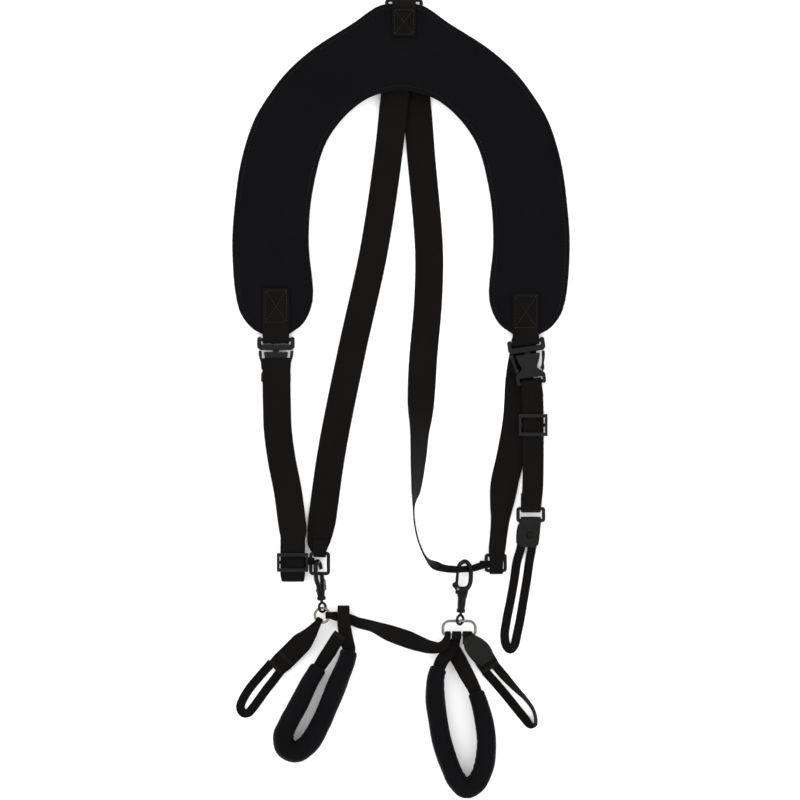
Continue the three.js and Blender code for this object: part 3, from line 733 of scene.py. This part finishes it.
def make_end_tab(side, bar, top, lean):
    """A web tab that rounds the buckle's upper bar and is sewn flat on the yoke's end."""
    x, y, _ = bar
    over = [(x, y + 7.5, YOKE_TOP + 1.7), (x, y + 14, YOKE_TOP + 1.2), (x, top, YOKE_TOP + 1.2)]
    stations = turn(bar, 90 + lean, 1.8, 1, 3, 24) + level_stations(over, 180, 24)
    _, frames = strap(side + "_end_tab_web", stations, side + "_end_tab", seed=2.0, ripple=0.1)
    end = frames[-1][4]
    lift = TACK_LIFT if frames[-2][2].z > 0 else -TACK_LIFT
    box_stitch(side + "_end_tab_stitch", frames, end - 31, end - 2.4, 9.6, lift)


def make_yoke_tabs():
    make_nape_tab()
    make_end_tab("left", LEFT_BUCKLE, 98, 0)
    make_end_tab("right", RIGHT_BUCKLE, 93, RIGHT_LEAN)


# ---- straps
def make_back_strap():
    bar = (NAPE_RING[0], NAPE_RING[1] - 5.6, NAPE_RING[2])
    wrap = turn(bar, -90, WIRE, 1, 0, WIDE, 180)[:0:-1]
    link = turn((77.2, -152.2, LOWER_RIGHT_LINK[2]), 180, WIRE, -1, 6, 6.6, 270)
    link.reverse()
    stations = turn((LOWER_LEFT_RING[0], -142.5, LOWER_LEFT_RING[2]), 88, WIRE, -1, 12, 11.6)
    stations += [
        [-74.6, -134, 4.6, 173, 0, 20], [-71.5, -112, 3, 171], [-62.6, -49, 3, 171],
        [-44.4, 41.7, 3, 169], [-24.5, 132.4, 4, 171], [-10.9, 223, 6, 175], [-6, 268.5, 7, 177],
        [0, 315, 7.9, 178]]
    stations += wrap
    stations += [
        [8.4, 310, 2, 182], [14, 268.5, 1.6, 183], [18.6, 214, 1.2, 184], [25.4, 132.4, 1, 182],
        [24.6, 87, 1, 178], [20, 32.7, 1.2, 176], [18.1, -3.6, 4.6, 177, 16], [17, -30, 10.2, 177, 46],
        [15.6, -58, 12.2, 177, 58], [13.6, -85.3, 13.2, 178, 72], [11.6, -99, 13.5, 180, 88],
        [12.4, -116, 13.5, 210, 90], [17.2, -135, 13.5, 230, 90], [25, -149, 13.6, 250, 84, 22],
        [36, -155, 14, 260, 40, 9], [50.2, -156.8, 13.4, 266, 0, 6.4], [57.4, -156.6, 8, 270, 0, 6],
        [64, -156.4, 2.9, 275, 0, 6], [70.6, -154.4, 3.4, 285, 0, 6.6]]
    stations += link
    strap("back_strap_web", stations, "back_strap", seed=3.0)


def make_left_front_strap():
    """It bends where it leaves the female half, so that half can slide off the male half."""
    x, y, z = LEFT_BUCKLE
    stations = turn((x, y - FEMALE_BAR, z), 90, BAR, 1, 2, 18, 180)
    stations += [
        [-113, 16.8, 11.9, 180, 0, 19], [-112.8, 22, 12.4, 180, 0, 24], [-112.6, 31, 12.4, 180],
        [-112.5, 33.8, 13.8, 180], [-112.5, 31, 15.2, 180], [-112.5, 18, 15, 180],
        [-112.5, 6, 11.6, 180], [-112.4, -8, 6.4, 181], [-111.6, -30.8, 4.4, 182],
        [-108, -58, 5.4, 188], [-102.6, -85.3, 6.8, 188], [-98.9, -112.5, 8, 184],
        [-97.7, -122, 8.4, 181, 0, 25], [-97.9, -129, 8.6, 181, 0, 22.4],
        [-98, -140.6, 8.7, 181, 0, 22.4], [-98, -161, 8.7, 180, 0, 22.4], [-98, -166, 7.4, 180, 0, 21],
        [-98, -167.6, 5, 180, 0, 20], [-98, -164.4, 3, 180, 0, 18]]
    made, _ = strap("left_front_web", stations, "left_front_strap", body=None, seed=4.0)
    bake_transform(made)


def make_lower_left_link():
    link = turn((-81.5, -149.4, LOWER_LEFT_RING[2]), 180, WIRE, -1, 0.8, 6.4, 90)[::-1]
    stations = [[-99, -152.4, 2.8, 86, 0, 12], [-90, -151.4, 2.8, 88, 0, 12], [-85.2, -150, 3, 90, 0, 8]]
    strap("lower_left_link_web", stations + link, "lower_left_link", seed=5.0, ripple=0.08, pace=0.9)


def make_right_front_strap():
    end = turn((86.2, -158, LOWER_RIGHT_LINK[2]), 90, WIRE, 1, 3, 12.2)[::-1]
    stations = [
        [111.4, 52, 1, 180, 0, 22], [110.6, 40, 1, 181, 0, 24], [107.4, 14.5, 1, 184],
        [105, -21.8, 1, 186], [98.6, -58, 1, 190], [94, -78, 2.6, 190, 8],
        [91.4, -96, 6.8, 188, 24, 24], [89.6, -113, 9.6, 186, 40, 22], [88, -128, 12, 182, 30, 18],
        [86.6, -141, 12.3, 180, 6, 15], [86.3, -150, 11.8, 180, 0, 12.4]] + end
    strap("right_front_web", stations, "right_front_strap", seed=6.0)


def make_accessory_strap():
    x, y, z = RIGHT_BUCKLE
    lean = radians(RIGHT_LEAN)
    bar = (x + FEMALE_BAR * sin(lean), y - FEMALE_BAR * cos(lean), z)
    end = turn((LOOP_RING[0], -102.1, LOOP_RING[2]), 90, WIRE, 1, 14, 18, 0)[::-1]
    stations = turn(bar, RIGHT_LEAN - 90, BAR, 1, 14, 18.4)
    stations += [
        [119.4, -4, 6.6, 2, 0, NARROW], [119.7, -26.3, 6, 0, 0, NARROW],
        [119.7, -60, 6, 0, 0, NARROW], [119.2, -84, 6.6, 0, 0, NARROW]] + end
    _, frames = strap("accessory_web", stations, "accessory_strap", body="accessory", seed=7.0, ripple=0.12)
    run = frames[-1][4] - 21
    bar_tack("accessory_end_tack", frames, run, 7.6, side_lift(frames, run), "accessory")


def make_loop_tab():
    """Leather folded over the loop ring, sewn and riveted over the ends of the thin loop."""
    tab = [[114.4, -136.8, 1.5, 0, 0, 15], [114.6, -134, 1.5, 0, 0, 20], [115.4, -122, 1.7, 0, 0, 21]]
    tab += turn((LOOP_RING[0], -112.7, LOOP_RING[2]), -90, WIRE, 1, 3, 18.4, 0)
    tab += [[115.6, -122, 6, 0, 0, 21], [114.8, -131, 5.6, 0, 0, 20.5], [114.6, -134, 5.6, 0, 0, 19],
            [114.4, -136.8, 5.6, 0, 0, 13]]
    _, frames = strap("loop_tab_leather", tab, "loop_tab", "leather", "loop_drop", ripple=0.05, pace=1.2)
    last = frames[-1][4]
    outline = [(last - 16, -8.2), (last - 3.4, -8.2), (last - 1.8, 0), (last - 3.4, 8.2), (last - 16, 8.2)]
    lines = web_path(frames, outline, side_lift(frames, last - 10))
    edge_stitch("loop_tab_stitch", lines, "loop_drop")
    thin_loop("accessory_loop_cord", "accessory_loop", "loop_drop", [
        (110.4, -128, 3.8, -8), (108, -140, 3.2, -10), (105.2, -150, 1.2, -10), (102.6, -167, 1, -10),
        (99.4, -185, 1, -11), (95.8, -203, 1, -10), (94, -217, 1, 0), (95.4, -226, 1, 45),
        (99, -229.8, 1, 90), (102.8, -226, 1, 135), (105, -217, 1, 168), (108, -203, 1, 170),
        (111, -185, 1, 170), (114, -167, 1, 172), (116.4, -150, 1.2, 172), (118.4, -139, 3.4, 173),
        (119.4, -128, 3.8, 174)])
    dome = lathe([(0, 0), (2.6, 0), (2.95, 0.3), (2.9, 0.65), (2.3, 1.1), (1.4, 1.4), (0, 1.5)], 28)
    shift(dome, (116.6, -126, 7))
    piece("loop_tab_rivet_head", dome, "dark_steel", "loop_drop", ("loop_tab_rivet",))


def thin_loop(name, node, body, points):
    """A loop of thin webbing through (x, y, z, heading) points; a fifth number tilts it."""
    stations = [[*p[:4], p[4] if len(p) > 4 else 0, THIN] for p in points]
    strap(name, stations, node, "thin_web", body, THIN_WEB, seed=8.0, ripple=0.1, pace=1.6)


def lathe(profile, sides):
    """A turned part about Z from (radius, height) pairs."""
    return loft([[Vector((x, y, z)) for x, y in circle(max(r, 0.001), sides)] for r, z in profile])


def shift(mesh, offset):
    mesh.transform(Matrix.Translation(Vector(offset) * MM))


def make_left_instrument_loop():
    body = "left_small_loop"
    tab = turn((-74.6, -204.2, LEFT_RING[2]), -118, 2, 1, 14, 6)
    tab += [
        [-82.6, -215.4, 10.8, -32, 0, 13], [-90, -223.4, 7, -34, 0, NARROW],
        [-98, -231.6, 4.6, -38, 0, NARROW], [-107, -240.4, 3.6, -40, 0, NARROW],
        [-114.6, -247.4, 3.4, -40, 0, 17]]
    _, frames = strap("left_loop_tab_web", tab, "left_loop_tab", body=body, ripple=0.1, pace=1.4)
    end = frames[-1][4]
    lift = side_lift(frames, end - 8)
    bar_tack("left_loop_tab_tack", frames, end - 3.2, 7.2, lift, body)
    bar_tack("left_loop_tab_tack_upper", frames, end - 15, 7.6, lift, body)
    thin_loop("left_instrument_loop_cord", "left_instrument_loop", body, [
        (-117.2, -241.6, 1.6, -40), (-124, -249.4, 1.4, -40), (-131.5, -258, 1.2, -40),
        (-138.6, -267, 1.2, -36), (-143.8, -276, 1.2, -26), (-145.6, -282.4, 1.2, 0),
        (-143, -287.4, 1.2, 60), (-138.6, -287.2, 1.2, 100), (-134, -282.4, 1.2, 136),
        (-129, -275.6, 1.2, 142), (-122.4, -266.4, 1.2, 142), (-115.4, -257.6, 1.2, 140),
        (-109, -249, 1.3, 138)])


def make_right_instrument_loop():
    body = "right_small_loop"
    tab = turn((60.2, -216, RIGHT_RING[2]), -90, 1.3, 1, 9, 8.8)
    tab += [
        [64.6, -224, 10.4, 22, 0, 16], [71.4, -231.4, 7.4, 35, 0, NARROW],
        [76.4, -239.4, 4.6, 36, 0, NARROW], [81.6, -247.6, 3.4, 38, 0, 18]]
    _, frames = strap("right_loop_tab_web", tab, "right_loop_tab", body=body, ripple=0.1, pace=1.4)
    run = frames[-1][4] - 3
    bar_tack("right_loop_tab_tack", frames, run, 7.4, side_lift(frames, run), body)
    make_loop_patch(body)
    thin_loop("right_instrument_loop_cord", "right_instrument_loop", body, [
        (76.4, -249.8, 1.4, 38), (84, -258.2, 1.2, 38), (91.6, -267, 1.2, 40), (99, -276, 1.2, 40),
        (106.2, -285, 1.2, 42), (112.2, -292.4, 1.2, 40), (117.2, -298, 3, 60, 30),
        (121.6, -297.2, 4.4, 120, 60), (121.8, -290.8, 4.6, 190, 70), (119.4, -283.4, 4.6, 210, 70),
        (112.6, -274, 4.6, 220, 66), (104.8, -266, 4, 220, 50), (96.4, -257, 3, 220, 24),
        (89, -248.6, 1.4, 218), (84.4, -243, 1.4, 218)])


def make_loop_patch(body):
    """The leather patch sewn over the right loop's web tab."""
    patch = [
        [60.4, -217.6, 12.9, 10, 0, 11], [65, -224.2, 12.4, 24, 0, 18],
        [71.6, -231.6, 9.8, 35, 0, 20.5], [76.6, -239.2, 6.8, 36, 0, 17], [78, -241.4, 6, 36, 0, 10]]
    _, frames = strap("right_loop_patch_leather", patch, "right_loop_patch", "leather", body,
                      ripple=0.05, pace=1.2)
    last = frames[-1][4]
    half = [(2.4, -4), (8, -7), (last * 0.55, -8.4), (last - 4, -6.4), (last - 2, 0)]
    outline = half + [(run, -offset) for run, offset in reversed(half[:-1])]
    edge_stitch("right_loop_patch_stitch", web_path(frames, outline, side_lift(frames, last / 2)), body)


def make_connector():
    end = turn((42.4, -216, RIGHT_RING[2]), -90, 1.3, 1, 3, 5.2, 180)[::-1]
    stations = turn((-64.8, -198.4, LEFT_RING[2]), 0, 1.8, 1, 3, 6)
    stations += [
        [-61, -198.8, 11.4, 91, 0, 7.5], [-58, -199.4, 8.8, 90, 0, 8.5], [-52, -200.4, 7.3, 88, 0, 9],
        [-46, -202.2, 7.6, 84, 0, 9.5], [-39, -205, 8.8, 78, 26, 11], [-26.3, -208.2, 9.8, 72, 46, 15],
        [-10, -214.6, 9.4, 68, 32, 18], [5.4, -220, 9.6, 70, 26, 18], [17, -224.2, 11, 76, 26, 16],
        [27, -227, 12.8, 90, 20, 13], [34.6, -227.2, 13.2, 115, 6, 10], [39.6, -223.6, 12.4, 145, 0, 8]] + end
    strap("connector_strap", stations, "connector_web", seed=9.0, ripple=0.15, pace=1.4)


# ---- padded loops
LEFT_LOOP = [(-47, -229.6), (-49.4, -240), (-57, -258.6), (-64.9, -277.3), (-72.9, -296), (-83.6, -314.4),
             (-95, -321.6), (-104, -318), (-106.6, -308), (-102.3, -296.5), (-93, -280), (-82.3, -258.7),
             (-73.6, -244.6)]
RIGHT_LOOP = [(34.6, -245), (31.6, -254), (30.8, -269.4), (32.2, -286), (36, -309.3), (44, -334),
              (50.6, -347.6), (59, -354.4), (67.6, -350.2), (74.6, -336), (77.2, -317), (75.8, -299),
              (71.8, -281), (67.2, -267)]


def standing(points, back):
    """Stations inside a sleeve: on edge, but nearly flat at its two mouths.

    back is the heading at which the webbing comes out again."""
    stations = [[x, y, SLEEVE_Z, 0, 90, NARROW] for x, y in points]
    stations[0][4:] = [24, 12.6]
    stations[-2][3] = back
    stations[-1][3:] = [back, 24, 12.6]
    return stations


def make_left_padded_loop():
    body = "left_padded_loop"
    stations = [
        [-52, -207, 2.2, 0, 0, 10], [-52, -197, 2.2, 0, 0, 11], [-52, -192.2, 3.4, 0, 0, 11],
        [-52, -190.2, 7.2, 0, 0, 11], [-52, -192.2, 11, 0, 0, 11], [-52, -197, 12.3, 0, 0, 11],
        [-51.6, -206, 12, 0, 0, 12], [-50.4, -214, 12, 0, 8, 12.4], [-48.8, -222, 12.4, 0, 14, 12.8]]
    stations += standing(LEFT_LOOP, 148)
    stations += [
        [-69.4, -238, 14, 148, 16, 13], [-65, -231.4, 15.2, 146, 10, 13],
        [-60.8, -224.4, 15.9, 146, 4, 12.6], [-56.4, -218, 15.6, 146, 0, 13],
        [-54.4, -214.8, 15.5, 146, 0, 12]]
    _, frames = strap("left_loop_webbing", stations, "left_loop_web", body=body, seed=10.0, ripple=0.08,
                      pace=1.6)
    end = frames[-1][4]
    bar_tack("left_loop_tack", frames, end - 3.4, 5.2, side_lift(frames, end - 3), body)


def make_right_padded_loop():
    stations = turn((50.4, -216, RIGHT_RING[2]), -90, 1.3, -1, 4, 8.4)
    stations += [
        [49.8, -220.4, 5.6, -6, 0, 8.4], [47, -226, 5.6, -12, 4, 12],
        [41.6, -233.6, 8, -20, 14, 13], [37, -239.6, 11.6, -16, 20, 13]]
    stations += standing(RIGHT_LOOP, 208)
    stations += [
        [63.6, -259.6, 12.4, 208, 20, 13.4], [59.4, -252, 10.6, 208, 16, 14],
        [54, -242, 7, 208, 10, 14], [49, -233, 4, 208, 0, 14], [46.4, -228.6, 2.4, 208, 0, 13]]
    strap("right_loop_webbing", stations, "right_loop_web", body="right_padded_loop", seed=11.0,
          ripple=0.08, pace=1.6)


def make_sleeves():
    sleeve("left_sleeve_foam", LEFT_LOOP, 16.4, "left_padded_loop", "left_loop_sleeve", 21)
    sleeve("right_sleeve_foam", RIGHT_LOOP, 16.2, "right_padded_loop", "right_loop_sleeve", 33)


def sleeve(name, path, wide, body, node, seed):
    """A stuffed neoprene tube: soft creases where it bends, a seam along its top, turned-in ends."""
    line = even_spline([(x, y, SLEEVE_Z) for x, y in path], 14)
    last = len(line) - 1
    tangents = [(line[min(i + 1, last)] - line[max(i - 1, 0)]).normalized() for i in range(last + 1)]
    run = [0.0]
    for a, b in zip(line, line[1:]):
        run.append(run[-1] + (b - a).length)
    rings = []
    for i, at in enumerate(line):
        out = tangents[i].cross(Vector((0, 0, 1))).normalized()
        bend = tangents[max(i - 4, 0)].cross(tangents[min(i + 4, last)]).z
        edge = min(run[i], run[-1] - run[i])
        ring = sleeve_ring(wide, run[i], edge, bend, seed)
        rings.append([at + out * x + Vector((0, 0, z)) for x, z in ring])
    first_mouth = [mouth(rings[0], line[0], tangents[0], *turned) for turned in MOUTH]
    last_mouth = [mouth(rings[-1], line[-1], -tangents[-1], *turned) for turned in reversed(MOUTH)]
    made = piece(name, loft(first_mouth + rings + last_mouth), "neoprene", body, (node,))


SLEEVE_SIDES = 40
SLEEVE_TALL = 25
MOUTH = [(0.35, 1.6), (0.78, 0.5)]      # (share of the ring's size, depth inside the sleeve)


def sleeve_ring(wide, run, edge, bend, seed):
    """One ring of a sleeve: `run` along it, `edge` from its nearer mouth, where it bends by `bend`."""
    close = 1 - 0.3 * (1 - smoothstep(0, 3.2, edge)) ** 2
    stuffing = 1.1 * smoothstep(4, 40, edge) * (1 + 0.6 * min(1.0, abs(bend) * 2))
    ring = []
    for j in range(SLEEVE_SIDES):
        t = 2 * pi * j / SLEEVE_SIDES
        c, s = cos(t), sin(t)
        inward = max(0.0, -c * copysign(1, bend)) * min(1.0, abs(bend) * 3)
        wander = 3 * noise.noise(Vector((run * 0.06, seed, t)))
        crease = inward * 0.3 * sin(run * 0.85 + wander)
        soft = 0.8 * noise.noise(Vector((run * 0.035, 1.4 * c + seed, 1.4 * s)))
        seam = -0.55 * exp(-((t - 1.2) / 0.09) ** 2)
        swell = crease + soft + seam + stuffing - 0.5
        across = (wide / 2 + swell) * abs(c) ** 0.8 * copysign(1, c) * close
        up = (SLEEVE_TALL / 2 + swell) * abs(s) ** 0.8 * copysign(1, s) * close
        ring.append((across, up))
    return ring


def mouth(ring, middle, inward, shrink, depth):
    """The sleeve's end turned in around the webbing."""
    return [middle + (p - middle) * shrink + inward * depth for p in ring]


# ---- hard parts
def moved(mesh, *matrices):
    """The mesh after the given placements, in millimetres, the last one nearest the mesh."""
    whole = Matrix.Identity(4)
    for matrix in matrices:
        whole = whole @ matrix
    whole.translation *= MM
    mesh.transform(whole)
    return mesh


def slide_to(x, y, z):
    """A placement at that point, in millimetres."""
    return Matrix.Translation((x, y, z))


def spin(degrees, axis):
    return Matrix.Rotation(radians(degrees), 4, axis)


def bevelled(work, name, size):
    """The finished mesh with every edge but the shallowest rounded."""
    edges = [e for e in work.edges if e.calc_face_angle(0) > 0.35]
    bmesh.ops.bevel(work, geom=edges, offset=size * MM, segments=3, profile=0.6, affect="EDGES",
                    clamp_overlap=True)
    mesh = bpy.data.meshes.new(name)
    work.to_mesh(mesh)
    work.free()
    return mesh


def plate(points, thickness, bevel=0.6, z=0.0):
    """A moulded plate with that outline, its edges rounded."""
    work = bmesh.new()
    base = [work.verts.new(Vector((x, y, z - thickness / 2)) * MM) for x, y in points]
    face = work.faces.new(base)
    made = bmesh.ops.extrude_face_region(work, geom=[face])
    tops = [g for g in made["geom"] if isinstance(g, bmesh.types.BMVert)]
    bmesh.ops.translate(work, verts=tops, vec=(0, 0, thickness * MM))
    bmesh.ops.recalc_face_normals(work, faces=work.faces)
    return bevelled(work, "plate", bevel)


def block(w, h, d, at, bevel):
    """A moulded rib or rail, w by h by d about its middle, its edges rounded."""
    work = bmesh.new()
    bmesh.ops.create_cube(work, size=1)
    bmesh.ops.scale(work, vec=(w * MM, h * MM, d * MM), verts=work.verts)
    bmesh.ops.translate(work, vec=Vector(at) * MM, verts=work.verts)
    return bevelled(work, "block", bevel)


def carve(mesh, tools):
    """The mesh with each tool cut out of it."""
    solid = new_object("carved", mesh)
    helpers = []
    for tool in tools:
        helper = new_object("tool", tool)
        modifier = solid.modifiers.new("cut", "BOOLEAN")
        modifier.operation = "DIFFERENCE"
        modifier.solver = "EXACT"
        modifier.object = helper
        helpers.append(helper)
    graph = bpy.context.evaluated_depsgraph_get()
    result = bpy.data.meshes.new_from_object(solid.evaluated_get(graph))
    for helper in helpers + [solid]:
        bpy.data.objects.remove(helper)
    return result


def hard_piece(name, mesh, slot, body, node, degrees=38):
    """A piece whose flat faces stay flat beside its rounded edges."""
    made = piece(name, mesh, slot, body, (node,))
    made.data.set_sharp_from_angle(angle=radians(degrees))


def rounded_outline(w, h, corner, shoulder):
    """A ring's outline, with `shoulder` as the radius of its upper corners."""
    out = []
    for sx, sy, start in ((1, 1, 0), (-1, 1, 90), (-1, -1, 180), (1, -1, 270)):
        r = shoulder if sy > 0 else corner
        for i in range(9):
            a = radians(start + 90 * i / 8)
            out.append((sx * (w / 2 - r) + r * cos(a), sy * (h / 2 - r) + r * sin(a), 0))
    return out


def moulded_ring(node, w, h, corner, at, body):
    """A moulded ring, w by h over the outside, with a fine parting line."""
    line = rounded_outline(w - 2 * WIRE, h - 2 * WIRE, corner, corner)
    outside = rounded_outline(w + 0.04, h + 0.04, corner + WIRE, corner + WIRE)
    mesh = join_meshes(node + "_moulding", [tube(line, WIRE, 20, True), tube(outside, 0.14, 6, True)])
    shift(mesh, at)
    piece(node + "_moulding", mesh, "plastic", body, (node,))


def wire_ring(node, mesh, at):
    shift(mesh, at)
    piece(node + "_wire", mesh, "nickel", "harness", (node,))


def torus(radius, r):
    return tube([(x, y, 0) for x, y in circle(radius, 56)], r, 20, True)


def make_rings():
    moulded_ring("nape_ring", 34, 14, 2, NAPE_RING, "nape_ring")
    moulded_ring("lower_left_ring", 18.8, 21, 1.8, LOWER_LEFT_RING, "harness")
    moulded_ring("lower_right_link", 20, 17, 1.8, LOWER_RIGHT_LINK, "harness")
    moulded_ring("loop_ring", 26, 13.6, 1.2, LOOP_RING, "loop_drop")
    wire_ring("right_ring", tube(rounded_outline(29.4, 12.4, 3, 6), 1.3, 20, True), RIGHT_RING)
    wire_ring("left_ring", torus(6.6, 1.2), LEFT_RING)


# outlines of a buckle's parts about its upper bar
BUCKLE_EARS = [(-17, 1.4), (-15.6, 2.6), (-13.4, 2.6), (-13.4, -4.2), (13.4, -4.2), (13.4, 2.6),
               (15.6, 2.6), (17, 1.4), (17, -7), (14.6, -9.4), (-14.6, -9.4), (-17, -7)]
SPRING_ARM = [(13, -9.8), (15.8, -9.8), (15.6, -14), (13.6, -21), (13.4, -26), (11.6, -28.4),
              (9.4, -25), (11.2, -22.6), (12.6, -16)]
FEMALE_HALF = [(11, -11.2), (10.6, -14), (9.2, -18.4), (7.4, -22), (7.2, -24.6), (12.2, -29),
               (13.4, -30.6), (13.4, -37.4), (12, -39)]        # its right side


def web_bar(half, y):
    return tube([(x, y, 0) for x in (-half, -half / 2, half / 2, half)], BAR, 20)


def male_half():
    """The frame round the upper bar, the guide between the arms and three grip ridges."""
    guide = plate([(-2.6, -8.6), (2.6, -8.6), (2.2, -24), (1, -26), (-1, -26), (-2.2, -24)], 2.4, 0.4)
    ridges = [block(22, 0.7, 0.5, (0, y, 3.0), 0.18) for y in (-6.2, -7.4, -8.4)]
    return join_meshes("male", [plate(BUCKLE_EARS, 6, 0.9), web_bar(14.5, 0), guide] + ridges)


def spring_arm(sign):
    """The left (-1) or right (1) arm, with ribs where a finger squeezes it."""
    outline = [(sign * x, y) for x, y in SPRING_ARM][::sign]
    places = [(sign * (15.5 - 0.24 * k), -11.2 - 1.9 * k, 0) for k in range(4)]
    return join_meshes("arm", [plate(outline, 4.2, 0.5)] + [block(0.5, 0.9, 3.2, at, 0.2) for at in places])


def female_half():
    """The waisted shell, its mouth and side windows cut out, a raised panel and three ridges."""
    outline = FEMALE_HALF + [(10.6, -39), (10.6, -32.6), (-10.6, -32.6), (-10.6, -39)]
    outline += [(-x, y) for x, y in reversed(FEMALE_HALF)]
    hollows = [block(13, 18.4, 4.4, (0, -19.4, 0), 0.3), block(30, 3.6, 5, (0, -26.6, 0), 0.3)]
    shell = carve(plate(outline, 8.4, 1.1), hollows)
    raised = [(-4.6, -14), (4.6, -14), (5.4, -20), (4.2, -26), (-4.2, -26), (-5.4, -20)]
    panel = plate(raised, 0.5, 0.2, 4.3)
    ridges = [block(15 - k, 0.8, 0.5, (0, -28.2 - 1.5 * k, 4.2), 0.2) for k in range(3)]
    return join_meshes("female", [shell, web_bar(11.4, -FEMALE_BAR), panel] + ridges)


def make_buckle(side, at, lean):
    def add(part, mesh, body):
        node = side + "_buckle_" + part
        mesh = moved(mesh, slide_to(*at), spin(lean, "Z"))
        hard_piece(node + "_moulding", mesh, "plastic", body, node)

    add("male", male_half(), "harness")
    add("arm_l", spring_arm(-1), side + "_arm_l")
    add("arm_r", spring_arm(1), side + "_arm_r")
    add("female", female_half(), side + "_female")


def make_glide(node, body, w, h, at):
    """A three-bar slide: side rails, two ribbed outer bars over the web and one under it."""
    ends = [s * (h / 2 - 1.6) for s in (-1, 1)]
    rails = [block(2.4, h, 6.2, (s * (w / 2 - 1.2), 0, 0), 0.9) for s in (-1, 1)]
    outer = [block(w - 1, 3.2, 2, (0, y, 2.1), 0.8) for y in ends]
    ribs = [block(w - 8, 0.5, 0.4, (0, y + d, 3.05), 0.15) for y in ends for d in (-0.7, 0.7)]
    middle = block(w - 1, 3.2, 1.8, (0, 0, -2.2), 0.7)
    mesh = join_meshes(node, rails + outer + ribs + [middle])
    shift(mesh, at)
    hard_piece(node + "_moulding", mesh, "plastic", body, node)


PIVOT_X = 4.4            # the gate's rivet, across from the barrel
PIVOT_UP = 3.6           # and above the barrel's top


def bow_size(t):
    """Radius of the bow's stock, slimmer towards its nose."""
    return 1.9 * (1.1 - 0.2 * smoothstep(0.7, 1.0, t))


def hook_casting(neck, top):
    """Grooved barrel, bow, the shoulder between them and the cheeks that hold the gate."""
    path = [(0, neck, 0), (-3.4, neck + 4, 0), (-6, neck + 9, 0), (-6.2, top - 14, 0),
            (-4.6, top - 6, 0), (0, top - 2, 0), (4.6, top - 5, 0), (5.8, top - 9.4, 0)]
    bow = tube(even_spline(path, 7), bow_size, 22)
    collar = [(1.9, 6.4), (3.2, 6.4), (3.7, 6.8), (4, 7.4), (4, 9.4), (3.6, 10), (3.3, 10.4)]
    grooves = [(3.4, 11.2), (3.75, 11.7), (3.45, 12.2), (3.5, 12.8), (3.85, 13.3), (3.6, 13.8)]
    crown = [(4, -1.8), (4.4, -0.8), (4.4, 0), (3.7, 1.1), (2, 1.7), (0, 1.8)]
    crown = [(r, neck + up) for r, up in crown]
    barrel = moved(lathe(collar + grooves + crown, 36), spin(-90, "X"))
    shoulder = [(-4.2, -4), (4.2, -4), (5, 1), (3, 5), (-3, 7), (-5.4, 5)]
    shoulder = plate([(x, neck + up) for x, up in shoulder], 3.6, 1.2)
    core = block(3, 5, 6.8, (0.6, neck + 1.2, 0), 0.8)
    cheeks = [block(6.4, 7, 1.3, (3.2, neck + 2.6, s * 2.75), 0.55) for s in (-1, 1)]
    return join_meshes("hook", [bow, barrel, shoulder, core] + cheeks)


def hook_gate(neck, top):
    """The sprung lever with a toothed thumb knob."""
    lever = [(3, neck + 2), (6, neck + 1.6), (7.4, neck + 3.6), (9.8, neck + 6), (9.4, neck + 9),
             (7.4, neck + 9.4), (7.2, top - 12.2), (4.6, top - 12.2), (4.6, neck + 8), (2.6, neck + 5)]
    teeth = [block(0.6, 0.6, 3.2, (9.75 - 0.1 * k, neck + 6.2 + 0.9 * k, 0), 0.2) for k in range(3)]
    return join_meshes("gate", [plate(lever, 3.6, 0.8)] + teeth)


def hook_rivet():
    head = [(0.85, 3.35), (1.25, 3.42), (1.25, 3.6), (0.9, 3.78), (0, 3.8)]
    return lathe([(r, -z) for r, z in reversed(head)] + head, 20)


def hook_eye():
    """The eye and the headed pin on which the hook swivels."""
    pin = lathe([(1.4, 4.4), (1.3, 6), (1.3, 9.4), (1.9, 9.8), (2.1, 10.2), (1.6, 10.4), (0, 10.4)], 24)
    return join_meshes("eye", [moved(torus(4.1, 1.2), spin(45, "Y")), moved(pin, spin(-90, "X"))])


def make_hook(side, at, lean, roll, neck, top):
    """Cast swivel snap hook; `neck` and `top` are how far its barrel and its bow reach."""
    upright = (slide_to(*at), spin(lean, "Z"))
    rolled = upright + (spin(roll, "Y"),)
    hook = side + "_hook"
    casting = moved(hook_casting(neck, top), *rolled)
    hard_piece(hook + "_casting", casting, "dark_steel", hook, hook, 50)
    gate = moved(hook_gate(neck, top), *rolled)
    hard_piece(hook + "_gate_casting", gate, "dark_steel", side + "_gate", hook + "_gate", 50)
    rivet = moved(hook_rivet(), *rolled, slide_to(PIVOT_X, neck + PIVOT_UP, 0))
    piece(hook + "_rivet_pin", rivet, "nickel", hook, (hook + "_rivet",))
    piece(hook + "_eye_casting", moved(hook_eye(), *upright), "dark_steel", "harness", (hook + "_eye",))


def make_hard_parts():
    make_rings()
    make_buckle("left", LEFT_BUCKLE, 0)
    make_buckle("right", RIGHT_BUCKLE, RIGHT_LEAN)
    make_glide("lower_left_glide", "front_glide", 28.4, 17, FRONT_GLIDE)
    make_glide("accessory_glide", "accessory_glide", 26, 20, ACCESSORY_GLIDE)
    make_hook("left", (-71.2, -191.2, 9.6), 6, 66, 16, 44)
    make_hook("right", (53.5, -202.5, 8), -5, 180, 24, 55)


make_camera()
make_light()
make_floor()
make_yoke()
make_yoke_edge_stitch()
make_yoke_tabs()
make_back_strap()
make_left_front_strap()
make_lower_left_link()
make_right_front_strap()
make_accessory_strap()
make_loop_tab()
make_left_instrument_loop()
make_right_instrument_loop()
make_connector()
make_left_padded_loop()
make_right_padded_loop()
make_sleeves()
make_hard_parts()
